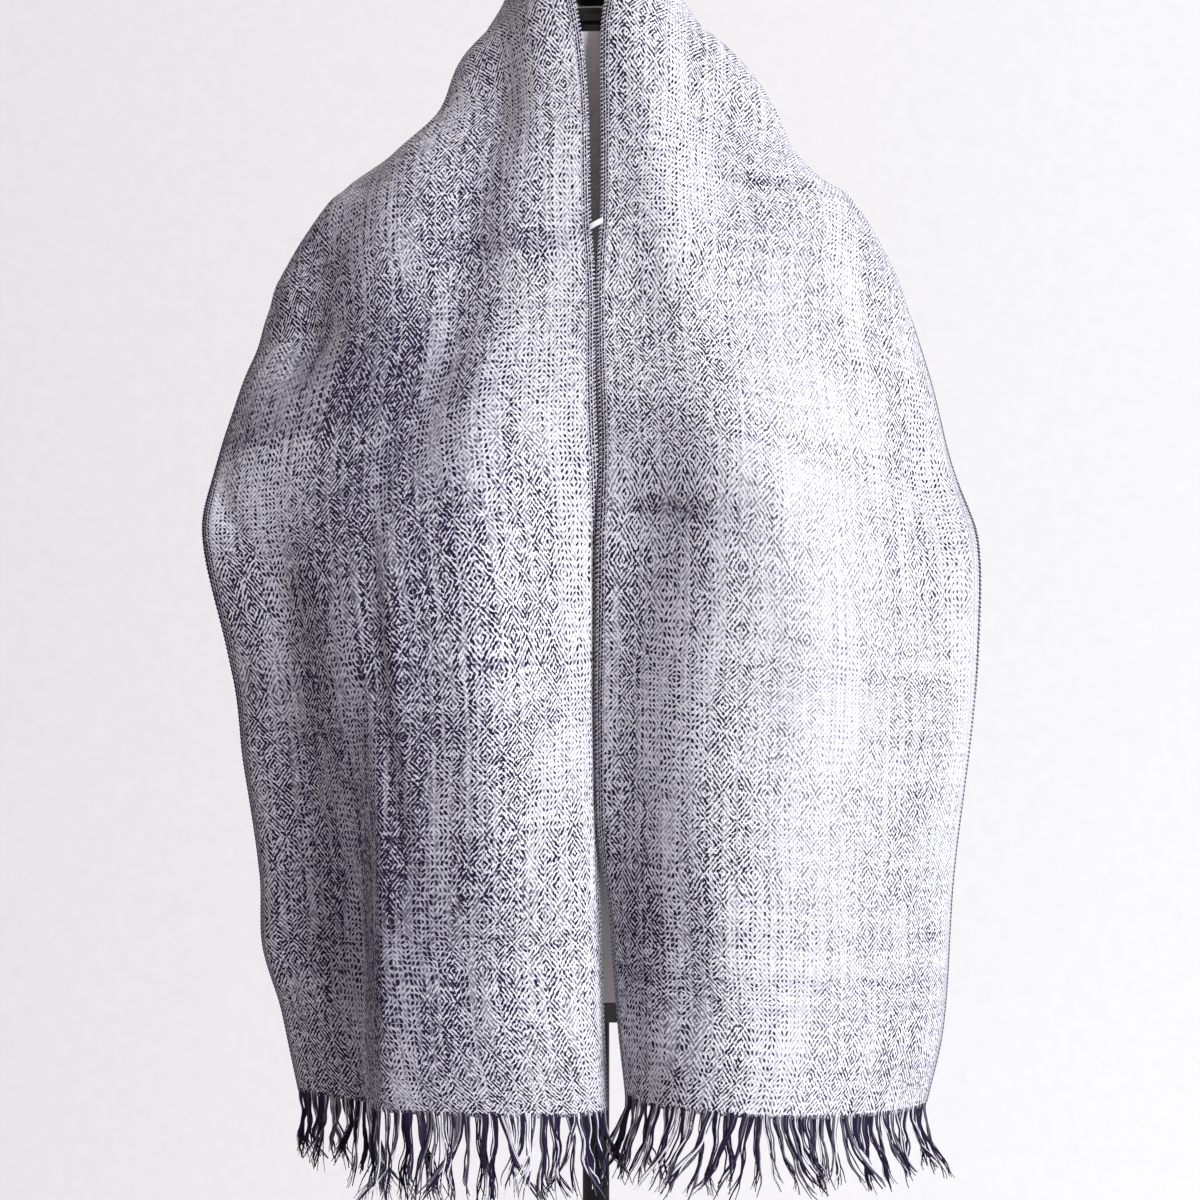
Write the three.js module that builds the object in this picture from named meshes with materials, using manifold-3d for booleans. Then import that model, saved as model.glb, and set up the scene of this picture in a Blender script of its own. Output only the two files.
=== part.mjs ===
// A long woven wool scarf with fringed ends, hung round the neck of a limbless dress form.
// The middle of the scarf stands round the neck as an open collar, covers both shoulders like a
// short cape, and its two ends hang side by side down the front of the form.
// Millimetres, +Z up. The front faces -Y. The origin is the centre of the stand's underside.
import * as THREE from 'three';
import { mergeVertices } from 'three/addons/utils/BufferGeometryUtils.js';
import Module from 'manifold-3d';

const wasm = await Module();
wasm.setup();

// ---------------------------------------------------------------- driving sizes
const SCARF = { width: 305, length: 2000, thickness: 1.8, fringe: 56 };
const HALF = SCARF.length / 2; // from either hem to the middle of the back
const SEAM_GAP = 0.4;
const HEM_STRIP = 4; // the last picks of the cloth, which carry the fringe
const SHOULDER_SEAM = 742; // where the front stretches meet the neck stretch
const CLEARANCE = 1.1; // cloth's middle surface to the form, so that no facet touches it
const STITCH = { fromHem: 634, length: 4, radius: 1.5, proud: 4.4, slant: 48 };
const STEPS = { across: 15, front: 32, neck: 28 };

const STAND = { poleRadius: 10, flangeRadius: 46, flangeHeight: 5 };
const PLATE = { radius: 155, height: 10, edge: 4, bossHeight: 14, bossFoot: 26, bossTop: 16 };
const RIM_HEIGHT = 14;
const RIM_TAPER = 0.985;
const TORSO = { bottom: 716, neckTop: 1420, squareness: 2.3, slices: 24, sides: 28 };

// A table: the first line names the columns, and each row becomes an object.
function table(columns, rows) {
  const names = columns.trim().split(/\s+/);
  return rows.map((row) => Object.fromEntries(names.map((name, i) => [name, row[i]])));
}

// ---------------------------------------------------------------- the dress form's sections
const FORM = table('height side front back', [
  [716, 166, -108, 116], // hip rim
  [790, 170, -110, 120],
  [850, 166, -106, 116],
  [910, 148, -99, 100],
  [975, 122, -92, 80], // waist
  [1040, 132, -99, 82],
  [1100, 147, -113, 88],
  [1150, 157, -121, 94], // bust
  [1200, 165, -110, 99],
  [1245, 175, -91, 99],
  [1272, 181, -79, 95],
  [1290, 180, -71, 89], // shoulder point
  [1303, 160, -66, 84],
  [1318, 124, -63, 78],
  [1334, 88, -60, 71],
  [1354, 67, -58, 64],
  [1385, 60, -57, 58],
  [1420, 58, -57, 56], // top of the neck
]);

// ---------------------------------------------------------------- how the scarf lies on the shoulders
// The neck stretch lies like half a cone laid flat: level is the distance from the cone's tip,
// measured on the cloth. Each level runs round the form as one ring. side* are the ring's half
// widths, front and back its reach, and the last three its heights at those places.
const RINGS = table('level sideLeft sideRight front back sideZ frontZ backZ', [
  [105, 50, 50, -53, 58, 1487, 1478, 1490], // rim of the collar
  [150, 70, 68, -62, 66, 1452, 1446, 1452],
  [192, 97, 102, -68, 76, 1413, 1406, 1412],
  [247, 117, 130, -76, 90, 1368, 1352, 1360],
  [285, 153, 145, -84, 99, 1341, 1315, 1324], // shoulders
  [322, 181, 168, -92, 105, 1319, 1281, 1288],
  [347, 198, 191, -98, 109, 1304, 1257, 1263],
  [414, 234, 224, -116, 116, 1248, 1193, 1197],
  [460, 249, 238, -126, 120, 1206, 1149, 1152],
  [509, 268, 252, -129, 122, 1160, 1101, 1104],
  [559, 279, 259, -129, 124, 1112, 1051, 1054],
  [590, 281, 263, -129, 124, 1081, 1020, 1023],
  [631, 281, 274, -129, 126, 1040, 979, 982],
  [760, 281, 278, -129, 126, 911, 850, 853],
]);
// How far the inner selvedge lies from the cone's tip line, by cloth length from the nape.
const LAY = table('fromNape left right', [
  [0, 105, 105],
  [40, 99, 98],
  [80, 78, 76],
  [120, 49, 46],
  [160, 25, 18],
  [200, 14, 6],
  [240, 9, 4],
  [300, 5, 3],
  [380, 2, 2],
  [1000, 2, 2],
]);

// ---------------------------------------------------------------- how the two ends hang
// Each row is one line of weft across the cloth, from its inner selvedge to its outer one.
// along: cloth length from the hem. in*, out*: where the two selvedges lie, side-to-side values
// counted outwards. leave, arrive: the headings there, in degrees towards the front. taken: the
// width that the folds take up.
const ROW_COLUMNS = 'along inX inY inZ outX outY outZ leave arrive taken';
const LEFT_ROWS = table(ROW_COLUMNS, [
  [0, -12, -88, 636, 218, -83, 634, 78, -64, 12],
  [60, -9, -114, 697, 229, -88, 693, 66, -62, 10],
  [120, -7, -118, 757, 240, -90, 749, 59, -57, 8],
  [180, -5, -120, 818, 241, -90, 806, 52, -52, 6],
  [290, -3.5, -124, 930, 254, -92, 910, 44, -42, 4],
  [350, -3, -126, 991, 264, -95, 966, 36, -36, 2],
  [430, -2, -128, 1073, 281, -98, 1042, 24, -24, 0],
  [520, 1, -128, 1166, 282, -74, 1098, 22, -30, 0],
  [600, 2, -122, 1248, 266, -38, 1160, 20, -40, 0],
]);
const RIGHT_ROWS = table(ROW_COLUMNS, [
  [0, 22, -86, 640, 242, -44, 632, 80, -64, 14],
  [60, 16, -113, 701, 254, -52, 691, 70, -62, 12],
  [180, 8, -119, 819, 260, -68, 804, 55, -54, 6],
  [290, 5.5, -124, 930, 271, -84, 910, 46, -44, 4],
  [350, 5, -126, 991, 275, -92, 966, 36, -36, 2],
  [430, 4, -128, 1073, 275, -96, 1042, 26, -26, 0],
  [520, 3, -128, 1166, 262, -74, 1100, 22, -32, 0],
  [600, 2, -122, 1248, 252, -38, 1162, 20, -40, 0],
]);
const HANG = { from: 440, to: 580 }; // below the first the ends hang free, above the last they lie

// Soft folds that run along the cloth. across: distance from the inner selvedge at the lower and
// upper end. from, to: cloth length from the hem. rise: outwards, or inwards if negative.
const FOLD_COLUMNS = 'low high from to rise spread';
const LEFT_FOLDS = table(FOLD_COLUMNS, [
  [96, 84, 100, 900, 8, 30], // front edge of the end
  [150, 128, 480, 900, -10, 26], // hollow between neck and shoulder
  [205, 190, 520, 900, 5, 32], // over the shoulder
  [240, 250, 30, 480, -8, 26],
  [295, 298, 60, 330, 6, 18], // loose outer selvedge
]);
const RIGHT_FOLDS = table(FOLD_COLUMNS, [
  [104, 88, 60, 900, 10, 26],
  [160, 138, 480, 900, -7, 26],
  [215, 200, 520, 900, 3, 32],
  [262, 266, 280, 560, -6, 24],
]);
// The folds that fan out from the nape, one entry for each, alike on both sides of the back.
const BACK_FOLDS = table('along rise spread', [
  [1000, 10, 26],
  [950, -9, 24],
  [900, 10, 26],
  [850, -8, 24],
]);
// The pleat in the left end: outwards of side, the cloth steps back behind its front part. It is
// full up to one height above the hem and gone at another.
const PLEAT = { side: 160, depth: 38, run: 20, full: 110, gone: 360 };

// ---------------------------------------------------------------- small helpers
const radians = THREE.MathUtils.degToRad;
const ease = (t) => THREE.MathUtils.smoothstep(t, 0, 1);
// Turns a circle's sine or cosine into that of the form's squarer sections.
const squared = (value) => Math.sign(value) * Math.abs(value) ** (2 / TORSO.squareness);

// Reads one column of a table at any place along its key, on a smooth curve through the rows.
function read(rows, key, column, at) {
  const last = rows.length - 1;
  let i = 0;
  while (i < last - 1 && rows[i + 1][key] < at) i += 1;
  const slope = (k) => {
    const a = rows[Math.max(k - 1, 0)];
    const b = rows[Math.min(k + 1, last)];
    return (b[column] - a[column]) / (b[key] - a[key]);
  };
  const [a, b] = [rows[i], rows[i + 1]];
  const step = b[key] - a[key];
  const t = THREE.MathUtils.clamp((at - a[key]) / step, 0, 1);
  const start = a[column] * (1 + 2 * t) * (1 - t) ** 2 + slope(i) * step * t * (1 - t) ** 2;
  const end = b[column] * t * t * (3 - 2 * t) + slope(i + 1) * step * t * t * (t - 1);
  return start + end;
}

// A closed solid from any three.js geometry, and back again.
function solid(geometry) {
  const bare = geometry.clone();
  bare.deleteAttribute('normal');
  bare.deleteAttribute('uv');
  const merged = mergeVertices(bare, 1e-4);
  const vertProperties = new Float32Array(merged.attributes.position.array);
  const triVerts = new Uint32Array(merged.index.array);
  return new wasm.Manifold(new wasm.Mesh({ numProp: 3, vertProperties, triVerts }));
}
function geometryOf(manifold) {
  const { vertProperties, triVerts } = manifold.getMesh();
  const made = new THREE.BufferGeometry();
  made.setAttribute('position', new THREE.BufferAttribute(vertProperties, 3));
  made.setIndex(new THREE.BufferAttribute(triVerts, 1));
  made.computeVertexNormals();
  return made;
}

// ---------------------------------------------------------------- the dress form's surface
function section(height) {
  const [side, front, back] = ['side', 'front', 'back'].map((name) => read(FORM, 'height', name, height));
  return { side, middle: (front + back) / 2, depth: (back - front) / 2 };
}

// 0 on the form's surface, negative inside and positive outside.
function formLevel({ x, y, z }) {
  const height = THREE.MathUtils.clamp(z, TORSO.bottom, TORSO.neckTop);
  const { side, middle, depth } = section(height);
  const power = TORSO.squareness;
  return (Math.abs(x / side) ** power + Math.abs((y - middle) / depth) ** power) ** (1 / power) - 1;
}

// Moves a point of cloth straight out of the form until it has its clearance.
const CLEARING = { passes: 12, probe: 0.5, farthest: 12, near: 0.01 };
const FORM_TOP = TORSO.neckTop + CLEARANCE;
const FORM_BOTTOM = TORSO.bottom - RIM_HEIGHT - CLEARANCE;
function clearOfForm(point) {
  if (point.z > FORM_TOP || point.z < FORM_BOTTOM) return point;
  const { passes, probe, farthest, near } = CLEARING;
  for (let pass = 0; pass < passes; pass += 1) {
    const level = formLevel(point);
    const slope = new THREE.Vector3(
      ...['x', 'y', 'z'].map((axis) => {
        const beside = point.clone();
        beside[axis] += probe;
        return (formLevel(beside) - level) / probe;
      }),
    );
    const short = CLEARANCE - level / slope.length();
    if (short <= near) break;
    point.addScaledVector(slope.normalize(), Math.min(short, farthest));
  }
  return point;
}

// ---------------------------------------------------------------- the scarf's drape
// Where a cloth length along the whole scarf lies: which end it belongs to, and how far along.
function placeOf(along) {
  const left = along <= HALF;
  const fromHem = left ? along : SCARF.length - along;
  return { left, fromHem, side: left ? -1 : 1, fromNape: HALF - fromHem };
}

// How far down the front each length of the inner selvedge reaches, once its sideways part is
// taken off. Kept as running sums, one for each end.
const LAY_STEP = 5;
const reach = Object.fromEntries(
  ['left', 'right'].map((end) => {
    const sums = [0];
    for (let at = 0; at < HALF; at += LAY_STEP) {
      const sideways = read(LAY, 'fromNape', end, at + LAY_STEP) - read(LAY, 'fromNape', end, at);
      sums.push(sums[sums.length - 1] + Math.sqrt(Math.max(LAY_STEP ** 2 - sideways ** 2, 0)));
    }
    return [end, sums];
  }),
);
function reachAt(end, fromNape) {
  const place = fromNape / LAY_STEP;
  const i = Math.min(Math.floor(place), reach[end].length - 2);
  return THREE.MathUtils.lerp(reach[end][i], reach[end][i + 1], place - i);
}

// Reads every column of a table at once.
function readRow(rows, key, at) {
  const names = Object.keys(rows[0]);
  return Object.fromEntries(names.map((name) => [name, read(rows, key, name, at)]));
}

// A point of cloth that lies on the shoulders, on its ring. Up to the level where the cloth comes
// free of the shoulders it follows the cone, and further out it keeps its own distance.
const FREE = { from: 380, to: 560 };
function lyingPoint(across, along) {
  const { left, side, fromNape } = placeOf(along);
  const end = left ? 'left' : 'right';
  const out = across + read(LAY, 'fromNape', end, fromNape);
  const down = reachAt(end, fromNape);
  const level = Math.hypot(out, down);
  const ring = readRow(RINGS, 'level', level);
  const width = left ? ring.sideLeft : ring.sideRight;
  const quarters = [
    new THREE.EllipseCurve(0, 0, width, -ring.front, -Math.PI / 2, 0),
    new THREE.EllipseCurve(0, 0, width, ring.back, 0, Math.PI / 2),
  ];
  const [frontLength, backLength] = quarters.map((quarter) => quarter.getLength());
  const share = 1 - Math.atan2(down, out) / (Math.PI / 2);
  const free = ease((level - FREE.from) / (FREE.to - FREE.from));
  const distance = THREE.MathUtils.lerp((frontLength + backLength) * share, out, free);
  const past = distance - frontLength;
  const spot = past > 0
    ? quarters[1].getPointAt(Math.min(past / backLength, 1))
    : quarters[0].getPointAt(distance / frontLength);
  const middleZ = past > 0 ? ring.backZ : ring.frontZ;
  const height = THREE.MathUtils.lerp(middleZ, ring.sideZ, (spot.x / width) ** 2);
  return new THREE.Vector3(side * spot.x, spot.y, height);
}

// One row of a hanging end: a cubic curve, stepped back where the pleat is.
class Row extends THREE.Curve {
  constructor(arc, stepBack) {
    super();
    this.arc = arc;
    this.stepBack = stepBack;
  }

  getPoint(t) {
    const point = this.arc.getPoint(t);
    point.y += this.stepBack * ease((Math.abs(point.x) - PLEAT.side) / PLEAT.run + 0.5);
    return point;
  }
}

function pleatDepth(along) {
  const { left, fromHem } = placeOf(along);
  return left ? PLEAT.depth * (1 - ease((fromHem - PLEAT.full) / (PLEAT.gone - PLEAT.full))) : 0;
}

// The row at a place along the scarf, with handles just long enough for the cloth's width.
const HANDLES = { short: 20, long: SCARF.width, halvings: 14 };
function heading(turn, side) {
  return new THREE.Vector3(side * Math.cos(radians(turn)), -Math.sin(radians(turn)), 0);
}
const rowStore = new Map();
function rowAt(along) {
  const { left, side, fromHem } = placeOf(along);
  const key = `${side} ${fromHem.toFixed(2)}`;
  if (rowStore.has(key)) return rowStore.get(key);
  const at = readRow(left ? LEFT_ROWS : RIGHT_ROWS, 'along', fromHem);
  const inner = new THREE.Vector3(side * at.inX, at.inY, at.inZ);
  const outer = new THREE.Vector3(side * at.outX, at.outY, at.outZ);
  const withHandle = (handle) => {
    const leaving = inner.clone().addScaledVector(heading(at.leave, side), handle);
    const arriving = outer.clone().addScaledVector(heading(at.arrive, side), -handle);
    const arc = new THREE.CubicBezierCurve3(inner, leaving, arriving, outer);
    return new Row(arc, pleatDepth(along));
  };
  let { short, long } = HANDLES;
  for (let i = 0; i < HANDLES.halvings; i += 1) {
    const middle = (short + long) / 2;
    if (withHandle(middle).getLength() > SCARF.width - at.taken) long = middle;
    else short = middle;
  }
  rowStore.set(key, withHandle(short));
  return rowStore.get(key);
}

function plainPoint(across, along) {
  const { fromHem } = placeOf(along);
  const lies = ease((fromHem - HANG.from) / (HANG.to - HANG.from));
  if (lies >= 1) return lyingPoint(across, along);
  const hung = rowAt(along).getPointAt(THREE.MathUtils.clamp(across / SCARF.width, 0, 1));
  return lies > 0 ? hung.lerp(lyingPoint(across, along), lies) : hung;
}

// The cloth's outward direction where it lies, from two short steps on its surface.
const ROW_STEP = 5;
function facing(point, across, along) {
  const a = Math.min(across, SCARF.width - ROW_STEP);
  const b = Math.min(along, SCARF.length - ROW_STEP);
  const here = point(a, b);
  const weft = point(a + ROW_STEP, b).sub(here);
  const warp = point(a, b + ROW_STEP).sub(here);
  return warp.cross(weft).normalize();
}

const bell = (distance, spread) => Math.exp(-((distance / spread) ** 2));

function foldRise(across, along) {
  const { left, fromHem } = placeOf(along);
  let rise = 0;
  for (const fold of left ? LEFT_FOLDS : RIGHT_FOLDS) {
    const t = (fromHem - fold.from) / (fold.to - fold.from);
    if (t <= 0 || t >= 1) continue;
    const centre = fold.low + (fold.high - fold.low) * t;
    rise += fold.rise * Math.min(ease(t * 4), ease((1 - t) * 4)) * bell(across - centre, fold.spread);
  }
  const fan = ease(across / SCARF.width);
  for (const fold of BACK_FOLDS) rise += fold.rise * fan * bell(fromHem - fold.along, fold.spread);
  return rise;
}

function clothPoint(across, along) {
  const point = plainPoint(across, along);
  point.addScaledVector(facing(plainPoint, across, along), foldRise(across, along));
  return clearOfForm(point);
}

// The middle of the wall where it is flat between two columns of its grid.
function facetPoint(across, along) {
  const cell = SCARF.width / STEPS.across;
  const i = Math.min(Math.floor(across / cell), STEPS.across - 1);
  return clothPoint(i * cell, along).lerp(clothPoint((i + 1) * cell, along), across / cell - i);
}

// A flat board of cloth, cut to size, whose every vertex is carried to its place on the drape.
function clothWall(from, to, stepsAlong) {
  const wall = new THREE.BoxGeometry(SCARF.width, to - from, SCARF.thickness, STEPS.across, stepsAlong, 1);
  const places = wall.attributes.position;
  for (let i = 0; i < places.count; i += 1) {
    const across = SCARF.width / 2 - places.getX(i);
    const along = places.getY(i) + (from + to) / 2;
    const out = facing(clothPoint, across, along);
    const point = clothPoint(across, along).addScaledVector(out, places.getZ(i));
    places.setXYZ(i, point.x, point.y, point.z);
  }
  return geometryOf(solid(wall));
}

// ---------------------------------------------------------------- the fringe
// How the locks hang along a hem: lean is the sideways swing, push the swing to the front, both
// as shares of the length. reach is each stretch's own share of the fringe's length.
const LOCK_COLUMNS = 'across lean push reach';
const LEFT_LOCKS = table(LOCK_COLUMNS, [
  [0, 0.2, 0.1, 0.8],
  [50, 0.1, 0.1, 1.0],
  [120, -0.08, 0.08, 1.15],
  [185, 0.04, 0.05, 1.2],
  [250, -0.12, 0.0, 0.95],
  [305, 0.1, 0.0, 0.8],
]);
const RIGHT_LOCKS = table(LOCK_COLUMNS, [
  [0, -0.1, 0.1, 0.9],
  [50, -0.3, 0.12, 1.0],
  [105, -0.2, 0.1, 1.05],
  [160, 0.3, 0.08, 0.95],
  [215, 0.25, 0.03, 0.9],
  [305, 0.3, 0.0, 0.9],
]);
const LOCK = { count: 44, root: 1.9, tip: 0.55, sides: 3, steps: 3, sunk: 2.2 };
const shuffle = (n) => THREE.MathUtils.euclideanModulo(Math.sin(n * 12.9898) * 43758.5453, 1);

// One lock: a slim three-sided tube that leaves the strip and bends down.
function lock(index, rightEnd) {
  const rows = rightEnd ? RIGHT_LOCKS : LEFT_LOCKS;
  const across = (SCARF.width * (index + 0.5)) / LOCK.count;
  const hem = rightEnd ? SCARF.length - LOCK.sunk : LOCK.sunk;
  const inward = rightEnd ? -ROW_STEP : ROW_STEP;
  const seed = index + (rightEnd ? 100 : 0);
  const length = SCARF.fringe * read(rows, 'across', 'reach', across) * (0.86 + 0.28 * shuffle(seed));
  const lean = read(rows, 'across', 'lean', across) + 0.12 * (shuffle(seed + 0.3) - 0.5);
  const push = read(rows, 'across', 'push', across) + 0.1 * (shuffle(seed + 0.6) - 0.5);
  const root = facetPoint(across, hem);
  const down = root.clone().sub(facetPoint(across, hem + inward)).normalize();
  const path = new THREE.CatmullRomCurve3([
    root,
    root.clone().addScaledVector(down, length * 0.25),
    root.clone().add(new THREE.Vector3(lean * length * 0.45, -push * length * 0.5, -length * 0.62)),
    root.clone().add(new THREE.Vector3(lean * length, -push * length * 0.8, -length)),
  ]);
  const tube = new THREE.CylinderGeometry(1, 1, 1, LOCK.sides, LOCK.steps);
  const places = tube.attributes.position;
  for (let i = 0; i < places.count; i += 1) {
    const t = 0.5 - places.getY(i);
    const radius = THREE.MathUtils.lerp(LOCK.root, LOCK.tip, t);
    const point = path.getPoint(t);
    places.setXYZ(i, point.x + radius * places.getX(i), point.y - radius * places.getZ(i), point.z);
  }
  return solid(tube);
}

// The strip that ends the cloth, with its locks grown out of it.
function fringe(rightEnd) {
  const from = rightEnd ? SCARF.length - HEM_STRIP : 0;
  const strip = solid(clothWall(from, from + HEM_STRIP, 1));
  const locks = Array.from({ length: LOCK.count }, (_, i) => lock(i, rightEnd));
  return geometryOf(locks.reduce((whole, one) => whole.add(one), strip));
}

// The stitch that holds the two inner selvedges together below the throat.
function stitch() {
  const left = clothPoint(0, STITCH.fromHem);
  const right = clothPoint(0, SCARF.length - STITCH.fromHem);
  const middle = left.lerp(right, 0.5).add(new THREE.Vector3(0, -STITCH.proud, 0));
  const thread = new THREE.IcosahedronGeometry(STITCH.radius, 1).scale(1, STITCH.length / STITCH.radius, 1);
  thread.rotateZ(radians(-STITCH.slant));
  return geometryOf(solid(thread.translate(middle.x, middle.y, middle.z)));
}

// ---------------------------------------------------------------- the dress form and its stand
function torso() {
  const { slices, sides } = TORSO;
  const body = new THREE.CylinderGeometry(1, 1, 1, sides, slices);
  const places = body.attributes.position;
  for (let i = 0; i < places.count; i += 1) {
    const height = sliceHeight(0.5 + places.getY(i));
    const { side, middle, depth } = section(height);
    const radius = Math.hypot(places.getX(i), places.getZ(i)) > 0.5 ? 1 : 0;
    const x = radius * side * squared(places.getX(i));
    const y = middle - radius * depth * squared(places.getZ(i));
    places.setXYZ(i, x, y, height);
  }
  return geometryOf(solid(body));
}

// Slices lie closer together above the armpits, where the sections change fast.
const ARMPITS = { height: 1262, share: 0.46 };
function sliceHeight(share) {
  const { height, share: lower } = ARMPITS;
  if (share < lower) return THREE.MathUtils.mapLinear(share, 0, lower, TORSO.bottom, height);
  return THREE.MathUtils.mapLinear(share, lower, 1, height, TORSO.neckTop);
}

// A turned piece from [radius, height] pairs, standing on the axis.
function turned(profile, segments = 28) {
  const points = profile.map(([radius, height]) => new THREE.Vector2(radius, height));
  return new THREE.LatheGeometry(points, segments).rotateX(Math.PI / 2);
}

const CAP_Z = TORSO.neckTop + SEAM_GAP;
const CAP_PROFILE = [
  [0, CAP_Z], [54, CAP_Z], [54, CAP_Z + 5], [52, CAP_Z + 6.5], [54, CAP_Z + 8], [54, CAP_Z + 13],
  [50, CAP_Z + 18], [38, CAP_Z + 22], [16, CAP_Z + 24], [12, CAP_Z + 27], [17, CAP_Z + 33],
  [16, CAP_Z + 39], [9, CAP_Z + 43], [0, CAP_Z + 44],
];
const FLANGE_Z = TORSO.bottom - RIM_HEIGHT - SEAM_GAP - STAND.flangeHeight;
const BOSS_Z = PLATE.height + PLATE.bossHeight;
const PLATE_PROFILE = [
  [0, 0], [PLATE.radius, 0], [PLATE.radius, PLATE.height - PLATE.edge],
  [PLATE.radius - PLATE.edge, PLATE.height], [PLATE.bossFoot, PLATE.height],
  [PLATE.bossTop + 4, BOSS_Z - 2], [PLATE.bossTop, BOSS_Z], [0, BOSS_Z],
];
const POLE_PROFILE = [
  [0, BOSS_Z + SEAM_GAP], [STAND.poleRadius, BOSS_Z + SEAM_GAP],
  [STAND.poleRadius, FLANGE_Z - SEAM_GAP], [0, FLANGE_Z - SEAM_GAP],
];
const FLANGE_PROFILE = [
  [0, FLANGE_Z], [STAND.flangeRadius, FLANGE_Z],
  [STAND.flangeRadius, FLANGE_Z + STAND.flangeHeight], [0, FLANGE_Z + STAND.flangeHeight],
];

// The band that closes the form's lower edge, cut to the shape of the hip.
function rim() {
  const { side, middle, depth } = section(TORSO.bottom);
  const band = new THREE.CylinderGeometry(1, RIM_TAPER, RIM_HEIGHT, TORSO.sides, 1);
  band.rotateX(Math.PI / 2);
  const places = band.attributes.position;
  for (let i = 0; i < places.count; i += 1) {
    const x = side * squared(places.getX(i));
    const y = middle + depth * squared(places.getY(i));
    places.setXYZ(i, x, y, places.getZ(i) + TORSO.bottom - SEAM_GAP - RIM_HEIGHT / 2);
  }
  return geometryOf(solid(band));
}

// ---------------------------------------------------------------- materials and the model
function material(color, roughness, metalness = 0) {
  return new THREE.MeshStandardMaterial({ color, roughness, metalness });
}
const wool = material(0xb9b6c6, 0.95);
const yarnEnds = material(0x3c3a4c, 0.95);
const whiteThread = material(0xe9e7ec, 0.9);
const linen = material(0xc9c1bc, 0.85);
const blackLacquer = material(0x111113, 0.4);
const blackSteel = material(0x151517, 0.45, 0.6);

const model = new THREE.Group();
function add(name, geometry, finish) {
  const mesh = new THREE.Mesh(geometry, finish);
  mesh.name = name;
  model.add(mesh);
}

const frontFrom = HEM_STRIP + SEAM_GAP;
const neckFrom = SHOULDER_SEAM + 2 * SEAM_GAP;
add('left_end', clothWall(frontFrom, SHOULDER_SEAM, STEPS.front), wool);
add('neck_stretch', clothWall(neckFrom, SCARF.length - neckFrom, STEPS.neck), wool);
add('right_end', clothWall(SCARF.length - SHOULDER_SEAM, SCARF.length - frontFrom, STEPS.front), wool);
add('left_fringe', fringe(false), yarnEnds);
add('right_fringe', fringe(true), yarnEnds);
add('throat_stitch', stitch(), whiteThread);
add('torso', torso(), linen);
add('hip_rim', rim(), blackLacquer);
add('neck_cap', turned(CAP_PROFILE), blackLacquer);
add('flange', turned(FLANGE_PROFILE), blackSteel);
add('pole', turned(POLE_PROFILE, 20), blackSteel);
add('base_plate', turned(PLATE_PROFILE, 40), blackSteel);

export default model;
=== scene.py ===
"""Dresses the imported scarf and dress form: the woven cloth and its folds, the selvedges, the fringes,
the stitch at the throat, the finishes of the form and its stand, and the studio around them."""

import math
import random
from functools import partial

import bmesh
import bpy
import numpy as np
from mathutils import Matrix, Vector


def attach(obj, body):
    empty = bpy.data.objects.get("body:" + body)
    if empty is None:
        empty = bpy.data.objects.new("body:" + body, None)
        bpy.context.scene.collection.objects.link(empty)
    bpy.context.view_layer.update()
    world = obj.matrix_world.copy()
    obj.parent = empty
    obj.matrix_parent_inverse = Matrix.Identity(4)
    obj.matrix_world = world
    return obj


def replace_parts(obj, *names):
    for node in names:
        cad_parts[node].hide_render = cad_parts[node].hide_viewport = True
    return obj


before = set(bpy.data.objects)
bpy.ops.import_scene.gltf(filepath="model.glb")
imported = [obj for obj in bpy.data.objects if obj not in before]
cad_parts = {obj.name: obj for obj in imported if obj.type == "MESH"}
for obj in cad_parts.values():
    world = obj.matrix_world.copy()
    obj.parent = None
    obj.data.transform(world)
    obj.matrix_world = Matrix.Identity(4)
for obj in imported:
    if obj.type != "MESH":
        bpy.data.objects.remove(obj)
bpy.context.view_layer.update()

bl_info = {
    "name": "Wool scarf on a dress form",
    "version": (1, 0, 0),
    "blender": (4, 5, 0),
    "location": "View3D > Sidebar > Scarf",
    "description": "Weaves, drapes and fringes a wool scarf on a dress form and lights it",
    "category": "Object",
}

MM = 0.001


# ------------------------------------------------------------------ sizes and colours to change
def size_property(name, description, default, precision=2):
    return bpy.props.FloatProperty(
        name=name, description=description, default=default, unit="LENGTH", precision=precision)


def count_property(name, description, default):
    return bpy.props.IntProperty(name=name, description=description, default=default)


def colour_property(name, description, default):
    return bpy.props.FloatVectorProperty(
        name=name, description=description, default=default, subtype="COLOR", size=3)


class ScarfSettings(bpy.types.PropertyGroup):
    width: size_property("Width", "Selvedge to selvedge on the loom", 0.305)
    length: size_property("Length", "Hem to hem, without the fringes", 2.0)
    thickness: size_property("Thickness", "Thickness of the cloth", 0.0016, 5)
    cells_across: count_property("Cells across", "Mesh cells from selvedge to selvedge", 76)
    cells_along: count_property("Cells along", "Mesh cells from hem to hem", 500)
    end_pitch: size_property("End pitch", "Distance between warp ends", 0.0008, 5)
    pick_pitch: size_property("Pick pitch", "Distance between picks of weft", 0.00108, 5)
    fringe: size_property("Fringe", "Usual length of the loose warp ends", 0.056)
    bunches: count_property("Bunches", "Bunches of yarn along each hem", 50)
    warp_colour: colour_property("Warp colour", "Dark woollen warp", (0.016, 0.011, 0.038))
    weft_colour: colour_property("Weft colour", "Off-white woollen weft", (0.80, 0.79, 0.85))
    # Greyer weft, mixed in for the yarns' slow streaks and as painted shade where much dark warp shows.
    streak_and_shade_colour: colour_property("Shadow colour", "Between the yarns", (0.30, 0.28, 0.38))


class FormSettings(bpy.types.PropertyGroup):
    cover_colour: colour_property("Cover colour", "Jersey cover of the torso", (0.88, 0.84, 0.85))
    lacquer_colour: colour_property("Lacquer colour", "Turned neck cap and hip rim", (0.011, 0.011, 0.013))
    steel_colour: colour_property("Steel colour", "Powder coat on pole and plate", (0.014, 0.014, 0.016))


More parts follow.
